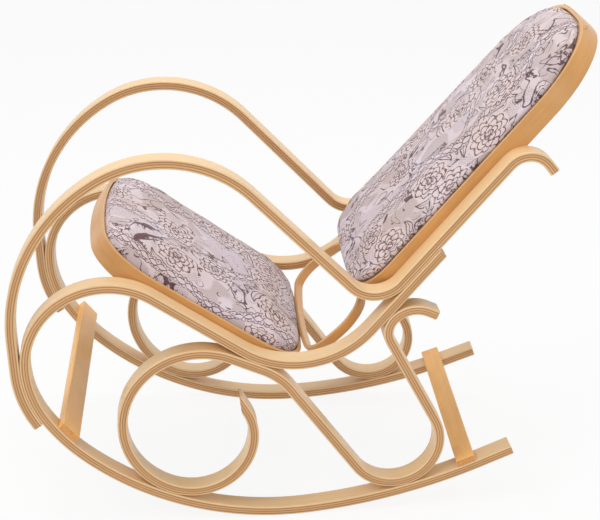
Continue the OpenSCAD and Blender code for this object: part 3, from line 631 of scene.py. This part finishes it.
def bevel_loop_end(bm, m):
    """Cuts the end of a scroll's loop to its bevel, within BEVEL_REACH mm of its tip."""
    back = end_h + 180
    at = tip + LOOP_END_RUN * ahead(back) - CUT_SHARE * STRIP_THICK / 2 * aside(back)
    slant = math.radians(BEVEL_ANGLE)
    cut = math.sin(slant) * ahead(back) + math.cos(slant) * aside(back)
    centre = m @ Vector((tip[0], tip[1], STRIP_WIDTH / 2))
    near = {v for v in bm.verts if (v.co - centre).length < BEVEL_REACH * MM}
    geom = [x for x in list(bm.edges) + list(bm.faces) if all(v in near for v in x.verts)]
    made = bmesh.ops.bisect_plane(bm, geom=list(near) + geom, plane_co=m @ Vector((at[0], at[1], 0)),
                                  plane_no=m.to_3x3() @ Vector((cut[0], cut[1], 0)), clear_outer=True)
    rim = [x for x in made["geom_cut"] if isinstance(x, bmesh.types.BMEdge)]
    bmesh.ops.contextual_create(bm, geom=rim)


def bent_strip(s, word, kind, start):
    """One bent strip, whose grain starts at another place in the wood than the others'."""
    m = side_m(s)
    pts = section(-STRIP_THICK / 2, STRIP_THICK / 2, 0, STRIP_WIDTH, STRIP_EDGE, 4)
    bm = sweep(strip_paths[kind], pts, m, False, start)
    if kind == "scroll":
        bevel_loop_end(bm, m)
    finish_piece(f"{word}_{kind}_strip", bm, [strip_wood], f"{word}_{kind}_bend")


for s, word in ((1, "left"), (-1, "right")):
    for k, kind in enumerate(strip_paths):
        bent_strip(s, word, kind, 10 + 7 * k + 3.3 * s)


# Hoops, ring and stretchers
def band(name, node, plan, m, low, height, start):
    """A closed band round a hoop's plan, its outer face on it, from low up by height."""
    points = plan.points(0, ARC_STEP)
    path, s, last = [], 0.0, points[0][0]
    for p, n in points:
        s += float(np.linalg.norm(p - last))
        path.append((p, n, s))
        last = p
    bm = sweep(path, section(-HOOP_THICK, 0, low, low + height, HOOP_EDGE, 3), m, True, start)
    finish_piece(name, bm, [hoop_wood], node)


band("seat_hoop_band", "seat_hoop", seat_plan, seat_m, -HOOP_HEIGHT, HOOP_HEIGHT, 40)
band("back_hoop_band", "back_hoop", back_plan, back_m, -HOOP_HEIGHT, HOOP_HEIGHT, 50)
band("ring_band", "ring_brace", ring_plan, ring_m, -RING_WIDTH / 2, RING_WIDTH, 60)


def bar(name, node, c, r, angle, width, thick, plane, start):
    """A stretcher on the runners' arc of centre c and radius r, plane out from the frames' inner faces."""
    sunk = math.sqrt((r - STRIP_THICK / 2 - FIT_GAP) ** 2 - width ** 2 / 4) + BAR_SINK
    a = math.radians(angle)
    mid_y = side_y(c[0] + sunk * math.sin(a)) + plane * sin_toe
    low = []
    for across, along in ((1, -1), (1, 1), (-1, 1), (-1, -1)):
        y = along * width / 2
        low.append((across * (inner_x(mid_y + y * math.cos(a)) + STRIP_WIDTH / cos_toe), y))
    bm = bmesh.new()
    vs = [bm.verts.new((x, y, z)) for z in (BAR_SINK, thick) for x, y in low]
    bm.faces.new(vs[3::-1])
    bm.faces.new(vs[4:])
    for k in range(4):
        j = (k + 1) % 4
        bm.faces.new((vs[k], vs[j], vs[j + 4], vs[k + 4]))
    bmesh.ops.bevel(bm, geom=list(bm.edges), offset=BAR_EDGE, segments=3, affect="EDGES", profile=0.5)
    layer = bm.loops.layers.float_vector.new("along")
    for f in bm.faces:
        for loop in f.loops:
            x, y, z = loop.vert.co
            loop[layer] = Vector((start + x * MM, (z - thick / 2) * MM, y * MM))
    bm.transform(placed((mid_y, c[1] - sunk * math.cos(a)), angle))
    finish_piece(name, bm, [bar_wood], node)


bar("front_bar", "front_stretcher", bow_c, BOW_R, -FRONT_BAR_ANGLE, FRONT_BAR_WIDTH, FRONT_BAR_THICK, 0, 70)
bar("rear_bar", "rear_stretcher", heel_c, HEEL_R, REAR_BAR_ANGLE, REAR_BAR_WIDTH, REAR_BAR_THICK,
    STRIP_WIDTH, 75)

# Screws: a head is turned from its profile of (radius, height over the face), in mm, down to the shank
HEAD_PROFILE = ((2.2, 0.40), (3.6, 0.26), (4.3, 0.02), (4.4, -0.3), (2.2, -2.9), (2.2, -16))
HEAD_TOP, SHANK_END = 0.42, -18
HEAD_PROUD = 0.2
HEAD_SIDES = 24
RECESS_SIZE, RECESS_HEIGHT = (4.6, 0.95, 0.2, 1), 0.37
BARE_SCREWS = "stretcher_screws"


def skin(bm, rows, caps):
    """Quads between closed rows of vertices, and a fan on each cap, a row and its middle vertex."""
    n = len(rows[0])
    for a, b in zip(rows, rows[1:]):
        for k in range(n):
            bm.faces.new((a[k], a[(k + 1) % n], b[(k + 1) % n], b[k]))
    for row, c in caps:
        for k in range(n):
            bm.faces.new((row[k], row[(k + 1) % n], c))


def islands(mesh):
    """The points of each separate solid in a mesh."""
    bm = bmesh.new()
    bm.from_mesh(mesh)
    bmesh.ops.remove_doubles(bm, verts=bm.verts, dist=1e-6)
    unseen, found = set(bm.verts), []
    while unseen:
        stack, part = [unseen.pop()], []
        while stack:
            v = stack.pop()
            part.append(v.co.copy())
            for e in v.link_edges:
                w = e.other_vert(v)
                if w in unseen:
                    unseen.remove(w)
                    stack.append(w)
        found.append(np.array(part))
    bm.free()
    return found


def head_frame(part):
    """Matrix that puts a head drawn in mm, its axis up, on the wide end of a screw's points."""
    centre = part.mean(0)
    axis = np.linalg.svd(part - centre)[2][0]
    t = (part - centre) @ axis
    off = np.linalg.norm((part - centre) - np.outer(t, axis), axis=1)
    halfway = (t.min() + t.max()) / 2
    if off[t > halfway].max() < off[t < halfway].max():
        axis, t = -axis, -t
    shank = part[t < t.mean()] - centre
    base = centre + (shank - np.outer(shank @ axis, axis)).mean(0)
    z = Vector(axis)
    x = z.orthogonal().normalized()
    m = Matrix((x, z.cross(x), z)).transposed().to_4x4()
    m.translation = Vector(base + axis * (t.max() + HEAD_PROUD * MM))
    return m @ Matrix.Scale(MM, 4)


def screw_heads(node, bare):
    """Countersunk heads a hair proud of the wood where the node's screws are: bare, with a cross recess
    drawn as dark bars of painted shade, or under turned wooden plugs."""
    bm = bmesh.new()
    for part in islands(nodes[node].data):
        m = head_frame(part)
        top = bm.verts.new(m @ Vector((0, 0, HEAD_TOP)))
        turns = [math.tau * k / HEAD_SIDES for k in range(HEAD_SIDES)]
        rings = [[bm.verts.new(m @ Vector((r * math.cos(a), r * math.sin(a), h))) for a in turns]
                 for r, h in HEAD_PROFILE]
        end = bm.verts.new(m @ Vector((0, 0, SHANK_END)))
        skin(bm, rings, ((rings[0], top), (rings[-1], end)))
        # the cross recess: two dark bars just proud of the head, painted shade in place of a cut hollow
        for turn in (0, math.pi / 2) if bare else ():
            place = m @ Matrix.Translation((0, 0, RECESS_HEIGHT)) @ Matrix.Rotation(turn, 4, "Z")
            made = bmesh.ops.create_cube(bm, size=1, matrix=place @ Matrix.Diagonal(RECESS_SIZE))
            for f in {f for v in made["verts"] for f in v.link_faces}:
                f.material_index = 1
    materials = [(steel if bare else plug).material, recess_shade.material]
    finish_piece(node.replace("screws", "screw_set"), bm, materials, node)


for node in sorted(nodes):
    if node.endswith("_screws"):
        screw_heads(node, node == BARE_SCREWS)
for node in ("seat_board", "back_board"):
    nodes[node].data.materials.clear()
    nodes[node].data.materials.append(plywood.material)

# Pads, in mm: the boards lie as far down in the hoops as part.scad puts them
PAD_GAP, FOAM_GAP = 1.2, 0.4
SEAT_BOARD_DEPTH, BACK_BOARD_DEPTH = 24, 4
SEAT_CROWN, BACK_CROWN = 31, 28
PAD_ROLL = 46
PAD_EDGE = HOOP_THICK + PAD_GAP
RIM_INSET = 0.8
RIM_STEP = 9
SWELL = 5
BACK_LIP, LIP_REACH = 12, 120
# the pad's form: how far across the roll, or out from its middle, and how high, as shares
ROLL_STEPS = ((0, -0.04), (0.01, 0.14), (0.04, 0.29), (0.09, 0.43), (0.16, 0.55), (0.27, 0.66), (0.44, 0.77),
              (0.70, 0.86), (1, 0.91))
CROWN_STEPS = ((0.86, 0.94), (0.72, 0.965), (0.55, 0.98), (0.38, 0.99), (0.2, 1.0))
VOXEL = 5.5
CLOTH_FRAMES = 20
CLOTH = {"quality": 5, "mass": 0.3, "use_pressure": True, "uniform_pressure_force": 4.0,
         "tension_stiffness": 12, "compression_stiffness": 12, "shear_stiffness": 6,
         "bending_stiffness": 0.6, "vertex_group_mass": "held"}


def pad_mesh(plan, matrix, board_depth, crown):
    """A crowned closed form that fills the hoop's plan and rests flat on its board."""
    edge = plan.points(0, RIM_STEP)
    mid = plan.middle()
    floor = FOAM_GAP - board_depth
    rings = [([p - PAD_EDGE * n for p, n in edge], floor)]
    for t, h in ROLL_STEPS:
        rings.append(([p - (PAD_EDGE + RIM_INSET + PAD_ROLL * t) * n for p, n in edge], crown * h))
    inner = rings[-1][0]
    for k, h in CROWN_STEPS:
        rings.append(([np.array([p[0] * k, mid + (p[1] - mid) * k]) for p in inner], crown * h))
    bm = bmesh.new()
    rows = [[bm.verts.new(matrix @ Vector((p[0], p[1], h))) for p in pts] for pts, h in rings]
    top, bottom = [bm.verts.new(matrix @ Vector((0, mid, h))) for h in (crown, floor)]
    skin(bm, rows, ((rows[-1], top), (rows[0], bottom)))
    bmesh.ops.recalc_face_normals(bm, faces=bm.faces)
    return bm


def evaluated(o):
    """The object's mesh with its modifiers applied."""
    return bpy.data.meshes.new_from_object(o.evaluated_get(bpy.context.evaluated_depsgraph_get()))


def apply_modifiers(o, *modifiers):
    """Makes the object's mesh what modifiers, each a kind and its settings, make of it."""
    for kind, settings in modifiers:
        modifier = o.modifiers.new(kind, kind)
        for name, value in settings.items():
            setattr(modifier, name, value)
    o.data = evaluated(o)
    o.modifiers.clear()


def coords(mesh):
    co = np.zeros(len(mesh.vertices) * 3)
    mesh.vertices.foreach_get("co", co)
    return co.reshape(-1, 3)


def on_plan(points, matrix):
    """Points in metres as places on a drawing in mm, where the third is the height over it."""
    inverse = np.array(matrix.inverted())
    return points @ inverse[:3, :3].T + inverse[:3, 3]


def store_plan(mesh, places):
    """Keeps places in mm as the attribute plan, in metres, which the cloths' patterns follow."""
    at = mesh.attributes.new("plan", "FLOAT_VECTOR", "POINT")
    at.data.foreach_set("vector", (places * MM).astype(np.float32).ravel())


def inflate(o, free):
    """Swells the object by cloth simulation, each point by SWELL mm at most and as far as it is free."""
    group = o.vertex_groups.new(name="held")
    for k, w in enumerate(free):
        if w < 1:
            group.add([k], float(1 - w), "REPLACE")
    before = coords(o.data)
    cloth = o.modifiers.new("cloth", "CLOTH")
    for name, value in CLOTH.items():
        setattr(cloth.settings, name, value)
    cloth.settings.effector_weights.gravity = 0
    cloth.collision_settings.use_collision = False
    cloth.collision_settings.use_self_collision = False
    cloth.point_cache.frame_start, cloth.point_cache.frame_end = 1, CLOTH_FRAMES
    for f in range(1, CLOTH_FRAMES + 1):
        scene.frame_set(f)
    move = coords(evaluated(o)) - before
    o.modifiers.clear()
    scene.frame_set(1)
    length = np.linalg.norm(move, axis=1)
    cap = SWELL * MM * (0.15 + 0.85 * free)
    move *= (np.minimum(length, cap) / np.maximum(length, 1e-9))[:, None]
    o.data.vertices.foreach_set("co", (before + move * free[:, None]).ravel())
    o.vertex_groups.clear()


def pulls(local, seed):
    """Soft hollows and swellings where the cloth is drawn down, in mm, at places in mm."""
    return 0.8 * np.array([noise.noise(Vector((x / 34 + seed, y / 34, 0.3)))
                           + 0.6 * noise.noise(Vector((x / 11, y / 11 + seed, 0.7))) for x, y, _ in local])


def make_pad(name, plan, matrix, board_depth, crown, lip, replaced, seed):
    """A cushion of stretched cloth over foam: inflated from pad_mesh, held at its rim. Its lower end rolls
    over the hoop by lip mm."""
    o = new_object(name, pad_mesh(plan, matrix, board_depth, crown))
    apply_modifiers(o, ("REMESH", {"mode": "VOXEL", "voxel_size": VOXEL * MM}),
                    ("SMOOTH", {"factor": 0.5, "iterations": 3}))
    # how free a point is: held under the rim and near the band, free on top
    height = on_plan(coords(o.data), matrix)[:, 2]
    free = np.clip((height - 0.12 * crown) / (0.45 * crown), 0, 1)
    inflate(o, free)
    apply_modifiers(o, ("SMOOTH", {"factor": 0.5, "iterations": 2}),
                    ("SUBSURF", {"levels": 1, "render_levels": 1}))

    # the low end rolls down over the hoop, above the rim only
    axes = np.array(matrix.to_3x3().normalized())
    co = coords(o.data)
    local = on_plan(co, matrix)
    end = local[:, 1].min() + LIP_REACH
    low = np.clip((end - local[:, 1]) / LIP_REACH, 0, 1) ** 1.6 * np.clip(local[:, 2] / 9, 0, 1)
    co = co + (-axes[:, 1] * MM * lip + axes[:, 2] * MM * 0.45 * lip) * low[:, None]
    # soft pulls of the cloth where it is drawn down along the rim
    lift = pulls(local, seed) * MM * np.clip(local[:, 2] / (0.6 * crown), 0, 1)
    co = co + axes[:, 2] * lift[:, None]
    o.data.vertices.foreach_set("co", co.ravel())
    o.data.update()

    # the pattern runs down over the sides, as cloth does, so it isn't smeared there
    normals = np.zeros(len(co) * 3)
    o.data.vertices.foreach_get("normal", normals)
    normals = normals.reshape(-1, 3) @ axes
    places = on_plan(co, matrix)
    places[:, :2] += normals[:, :2] * np.clip(0.9 * crown - places[:, 2], 0, crown)[:, None]
    places[:, 0] += 1000 + 700 * seed
    store_plan(o.data, places)
    o.data.materials.append(lace.material)
    o.data.shade_smooth()
    o.data.update()
    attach(o, "root")
    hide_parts(*replaced)


# Floral lace, drawn on the cloth's plan: pitches and sizes in metres
WOBBLE, TREMBLE = 0.012, 0.0026
ROSE_PITCH, ROSE_JITTER, ROSE_SIZE, ROSE_RANGE = 0.118, 0.72, 0.034, 0.013
# each ring of petals: its share of the rose's size, its petals and the depth of its scallops
PETAL_RINGS = ((0.20, 3, 0.40), (0.42, 5, 0.30), (0.67, 7, 0.24), (0.94, 10, 0.17))
LEAF_PEN = 0.040
CHAIN_PITCH, CHAIN_HALF = 0.158, 0.0190
LINK_LENGTH, LINK_HALF, SCALLOP_LENGTH, SCALLOP_HALF = 0.022, 0.0074, 0.0125, 0.0138
BEAD_PITCH, BEAD_PLACE, BEAD_SIZE = 0.0068, 0.0108, 0.0014
NET_PITCH, HATCH_PITCH, CROSS_PITCH, THREAD_PITCH = 0.0060, 0.0030, 0.0036, 0.0011
LINING_PITCH = 0.0016


def wave(x, pitch):
    """A sine that comes again each pitch metres."""
    return (x * (math.tau / pitch)).sin()


class Pen:
    """The place on the cloth, wavering as if drawn by hand, and lines drawn there."""

    def __init__(self, m):
        self.m = m
        self.x0, self.u0, _ = m.split(m.attribute("plan"))
        self.steady = m.vec(self.x0, self.u0)
        wobble = m.split(m.noise(self.steady, 26, 2, colour=True))
        tremble = m.split(m.noise(self.steady, 150, 1, colour=True))
        self.x = self.x0 + WOBBLE * (wobble[0] - 0.5) + TREMBLE * (tremble[0] - 0.5)
        self.u = self.u0 + WOBBLE * (wobble[1] - 0.5) + TREMBLE * (tremble[1] - 0.5)
        self.pressure = 0.45 + 1.5 * m.noise(self.steady, 42, 1)

    def line(self, distance, width):
        """1 on a drawn line, where distance is from its middle in metres and width about its own in mm."""
        return ((distance.abs() * 1000) / self.pressure).step(width * 1.3, width * 0.8)

    def field(self, scale, detail=0, distortion=0.0, dx=0.0, du=0.0, layer=0.0):
        """A noise on the wavering place, moved to another part of it by dx, du and layer."""
        return self.m.noise(self.m.vec(self.x + dx, self.u + du, layer), scale, detail, 0.5, distortion)


def draw_roses(pen):
    """Cells with scalloped rings of petals and strokes between them, and leaves with a vein round them.
    Gives the roses' ink and where they lie, and the same of the leaves."""
    m = pen.m
    cell = m.new("TexVoronoi", voronoi_dimensions="2D", feature="F1")
    m.link(m.vec(pen.x / ROSE_PITCH, pen.u / ROSE_PITCH), cell.inputs["Vector"])
    fill(cell, Scale=1, Randomness=ROSE_JITTER)
    cx, cu, _ = m.split(cell.outputs["Position"])
    lot = m.split(cell.outputs["Color"])
    dx, du = pen.x / ROSE_PITCH - cx, pen.u / ROSE_PITCH - cu
    r = (dx * dx + du * du).sqrt() * ROSE_PITCH
    phi = du.atan2(dx) + math.tau * lot[0]
    size = ROSE_SIZE + ROSE_RANGE * lot[1]
    out = r / size
    has = lot[2].above(0.40)

    rose = out.step(0.34, 0.12) * pen.field(190, 1).step(0.46, 0.56) * 0.9
    for k, (share, petals, depth) in enumerate(PETAL_RINGS):
        lobe = (phi * (petals / 2) + 1.7 * k + lot[1] * 6).sin().abs()
        off = r - size * share * (1 - depth + 1.5 * depth * lobe)
        tip = lobe.below(0.16) * off.step(-0.0004, 0.0006) * off.step(0.0085, 0.0050)
        fold = (phi * petals + 3.1 * k).sin().step(0.30, 0.85) * off.step(0.001, -0.001)
        fold = fold * off.step(-0.0052, -0.0030) * pen.field(30 + 9 * k, 1).step(0.50, 0.60)
        rose = rose.max(pen.line(off, 1.15)).max(tip).max(fold * 0.85)
    inside = out.step(1.14, 1.08) * has

    leaf_phi = (phi * 2.5 + 1.0).sin()
    leaf_off = ((out - 1.40).abs() - 0.22 * leaf_phi.max(0.0)) * LEAF_PEN
    leaf_in = out.above(1.12) * out.below(1.72) * has * lot[1].above(0.25) * leaf_phi.above(-0.05)
    vein = pen.line((out - 1.40) * LEAF_PEN, 0.55) * leaf_phi.above(0.1)
    return rose * inside, inside, pen.line(leaf_off, 1.05).max(vein) * leaf_in, leaf_in


def draw_chains(pen):
    """Chains of links, beads and scallops that wander along the cloth. Gives their ink and where they lie."""
    sway = 0.030 * (pen.u / 0.070).sin() + 0.012 * (pen.u / 0.027 + 1.1).sin()
    across = (((pen.x + sway + 0.03) / CHAIN_PITCH + 0.5).fract() - 0.5) * CHAIN_PITCH
    across = across.abs()
    link = LINK_HALF * (pen.u * (math.pi / LINK_LENGTH)).sin().abs() + 0.0012
    scallop = SCALLOP_HALF + 0.0034 * (pen.u * (math.pi / SCALLOP_LENGTH)).sin().abs()
    along = ((pen.u / BEAD_PITCH).fract() - 0.5) * BEAD_PITCH
    away = across - BEAD_PLACE
    bead = pen.line((away * away + along * along).sqrt() - BEAD_SIZE, 0.5)
    inside = across.below(CHAIN_HALF)
    return pen.line(across - link, 1.25).max(pen.line(across - scallop, 1.15)).max(bead) * inside, inside


def draw_scrolls(pen):
    """Long scrolls and outlines in the ground, broken as if by a quick hand."""
    flow = pen.field(9.5, 1, 1.2)
    bends = pen.field(15, 0, 1.8, 3.1, 1.7)
    curls = pen.field(46, 0, 1.5, -1.3, 0.9)
    broken = pen.field(24).step(0.44, 0.50)
    ink = pen.line((flow - 0.54) * 0.125, 1.15).max(pen.line((bends - 0.45) * 0.090, 1.05) * broken)
    return ink.max(pen.line((curls - 0.60) * 0.020, 0.85) * broken * flow.above(0.50))


def draw_ground(pen, region):
    """A fine dotted net in patches, and a hatched ground in others."""
    a = ((pen.x + pen.u) / NET_PITCH).fract() - 0.5
    b = ((pen.x - pen.u) / NET_PITCH).fract() - 0.5
    net = (a * a + b * b).sqrt().step(0.33, 0.20) * region.step(0.555, 0.570)
    hatched = region.step(0.475, 0.450)
    hatch = wave(pen.x * 0.35 + pen.u, HATCH_PITCH).step(-0.1, 0.6) * hatched
    cross = wave(pen.x - 0.5 * pen.u, CROSS_PITCH).step(0.1, 0.8) * hatched
    return (net * 0.85).max(hatch * 0.42).max(cross * 0.34)


def floral_lace():
    m = Mat("floral_lace_cloth", 0.85, Sheen_Weight=0.12, Sheen_Roughness=0.5)
    pen = Pen(m)
    rose, rose_in, leaf, leaf_in = draw_roses(pen)
    chains, chain_in = draw_chains(pen)
    region = pen.field(11, 0, 0.6, layer=0.5)
    free = 1 - rose_in
    ground = (1 - chain_in) * free
    ink = rose.max(chains * free).max(leaf * (1 - chain_in)).max(draw_scrolls(pen) * ground * (1 - leaf_in))
    soft = draw_ground(pen, region) * ground * (1 - leaf_in * 0.8)

    # the cloth's own tones and threads, then the pale and the dark inks
    cloth = m.mix((m.noise(pen.steady, 8, 1) * 2.2 - 0.6).clamp(), rgb(212, 194, 192), rgb(222, 210, 220))
    cloth = m.mix(rose_in * 0.5, cloth, rgb(224, 204, 200))
    cloth = m.mix(region.step(0.49, 0.45) * ground * 0.4, cloth, rgb(200, 182, 176))
    thread = wave(pen.x0, THREAD_PITCH) * wave(pen.u0, THREAD_PITCH)
    cloth = m.scale_colour(cloth, 0.97 + 0.035 * thread + 0.05 * (m.noise(pen.steady, 700, 2) - 0.5))
    dark = m.mix(m.noise(pen.steady, 50, 1), rgb(54, 20, 30), rgb(96, 46, 50))
    pale_share = soft * (0.7 + 0.6 * (m.noise(pen.steady, 300, 1) - 0.3))
    dark_share = ink * (0.92 + 0.3 * (m.noise(pen.steady, 240, 1) - 0.5))
    m.colour(m.mix(dark_share.clamp(), m.mix(pale_share.clamp(), cloth, rgb(104, 74, 76)), dark))
    m.roughness(0.80 + 0.10 * m.noise(pen.steady, 400, 1) - 0.06 * ink)
    m.bump(0.5 + 0.4 * thread + 0.5 * ink, 0.00022, 0.5)
    return m


lace = floral_lace()
make_pad("seat_pad", seat_plan, seat_m, SEAT_BOARD_DEPTH, SEAT_CROWN, 0, ("seat_cover", "seat_foam"), 2.3)
make_pad("back_pad", back_plan, back_m, BACK_BOARD_DEPTH, BACK_CROWN, BACK_LIP,
         ("back_cover", "back_foam"), 8.1)


# Cloth under the seat and behind the back
def lining_cloth():
    m = Mat("lining_cloth", 0.92, Sheen_Weight=0.1)
    x, u, _ = m.split(m.attribute("plan"))
    weave = wave(x, LINING_PITCH) * wave(u, LINING_PITCH)
    fuzz = m.noise(m.vec(x, u), 380, 3)
    m.colour(m.mix((0.5 + 0.25 * weave + 0.5 * (fuzz - 0.5)).clamp(), rgb(44, 42, 42), rgb(74, 70, 68)))
    m.bump(0.5 * weave + fuzz, 0.0003, 0.6)
    return m


lining = lining_cloth()
# from the rim inwards: the share of the plan's size and the height of the hem, in mm
HEM_STEPS = ((1.0, 0.0), (0.985, 0.25), (0.965, 0.25), (0.95, 0.0), (0.85, 0), (0.7, 0), (0.5, 0),
             (0.3, 0), (0.12, 0))
LINING_INSET, LINING_RISE, LINING_DRAW, LINING_THICK = 0.7, 0.5, 0.9, 0.5


def make_lining(name, plan, matrix, node):
    """A cloth stretched across the hoop's far edge, hemmed at its rim and drawn in by LINING_DRAW mm."""
    edge = plan.points(HOOP_THICK + LINING_INSET, RIM_STEP)
    mid = plan.middle()
    flat = LINING_RISE - HOOP_HEIGHT
    bm = bmesh.new()
    rows = []
    for k, hem in HEM_STEPS:
        z = flat + hem + LINING_DRAW * (1 - k * k)
        rows.append([bm.verts.new(matrix @ Vector((p[0] * k, mid + (p[1] - mid) * k, z))) for p, _ in edge])
    skin(bm, rows, ((rows[-1], bm.verts.new(matrix @ Vector((0, mid, flat + LINING_DRAW)))),))
    o = new_object(name, bm)
    o.data.materials.append(lining.material)
    o.data.shade_smooth()
    store_plan(o.data, on_plan(coords(o.data), matrix))
    solid = o.modifiers.new("thickness", "SOLIDIFY")
    solid.thickness = LINING_THICK * MM
    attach(o, "root")
    xs, us = np.array([p for p, _ in edge]).T * MM
    float(xs.max() - xs.min())
    float(us.max() - us.min())
    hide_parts(node)


make_lining("seat_dust_cloth", seat_plan, seat_m, "seat_dust_cover")
make_lining("back_lining_cloth", back_plan, back_m, "back_lining")

# Stage and light, in metres and watts: each lamp's name, place, size and power
FLOOR_HALF, FLOOR_CELLS, FLOOR_GLOW = 9, 24, 0.88
WHITE, FLOOR_GREY = (1, 1, 1, 1), (0.86, 0.86, 0.86, 1)
WORLD_LIGHT = 0.62
LAMPS = (("key", (1.6, -2.2, 3.4), 2.2, 50), ("top", (-0.6, 0.6, 3.6), 2.6, 40),
         ("side", (3.4, 1.6, 1.6), 1.8, 18))
LAMP_AIM = Vector((0, 0, 0.4))


def seen_directly(tree):
    """1 for the camera's own rays and for those that gloss or glass sends on, and otherwise 0."""
    path = tree.nodes.new("ShaderNodeLightPath")
    camera, glossy, through = [Sock(tree, path.outputs[k])
                               for k in ("Is Camera Ray", "Is Glossy Ray", "Is Transmission Ray")]
    return (camera + glossy + through).clamp()


def floor_material():
    """Pale and dull, and mostly a white glow to the camera, so that a soft shadow is left on it."""
    m = Mat("pale_floor", 0.9)
    fill(m.shader, Base_Color=FLOOR_GREY, Specular_IOR_Level=0.0)
    glow = m.new("Emission")
    fill(glow, Color=WHITE)
    mix = m.new("MixShader")
    m.link(seen_directly(m.tree) * FLOOR_GLOW, mix.inputs[0])
    m.link(m.shader.outputs[0], mix.inputs[1])
    m.link(glow.outputs[0], mix.inputs[2])
    m.link(mix.outputs[0], m.tree.nodes["Material Output"].inputs["Surface"])
    return m.material


def make_floor():
    bm = bmesh.new()
    line = [FLOOR_HALF * (2 * k / FLOOR_CELLS - 1) for k in range(FLOOR_CELLS + 1)]
    grid = [[bm.verts.new((x, y, 0)) for y in line] for x in line]
    for a, b in zip(grid, grid[1:]):
        for k in range(FLOOR_CELLS):
            bm.faces.new((a[k], b[k], b[k + 1], a[k + 1]))
    floor = new_object("floor", bm)
    floor.data.materials.append(floor_material())


def make_world():
    scene.world = bpy.data.worlds.new("studio")
    scene.world.use_nodes = True
    tree = scene.world.node_tree
    back = tree.nodes["Background"]
    strength = WORLD_LIGHT + (1 - WORLD_LIGHT) * seen_directly(tree)
    tree.links.new(strength.socket, back.inputs["Strength"])
    fill(back, Color=WHITE)


def make_lamp(name, at, size, power):
    light = bpy.data.lights.new(name, "AREA")
    light.shape = "DISK"
    light.size = size
    light.energy = power
    o = bpy.data.objects.new(name, light)
    scene.collection.objects.link(o)
    o.location = at
    o.rotation_mode = "QUATERNION"
    o.rotation_quaternion = (LAMP_AIM - Vector(at)).to_track_quat("-Z", "Y")


make_floor()
make_world()
for lamp in LAMPS:
    make_lamp(*lamp)
scene.view_settings.view_transform = "Standard"
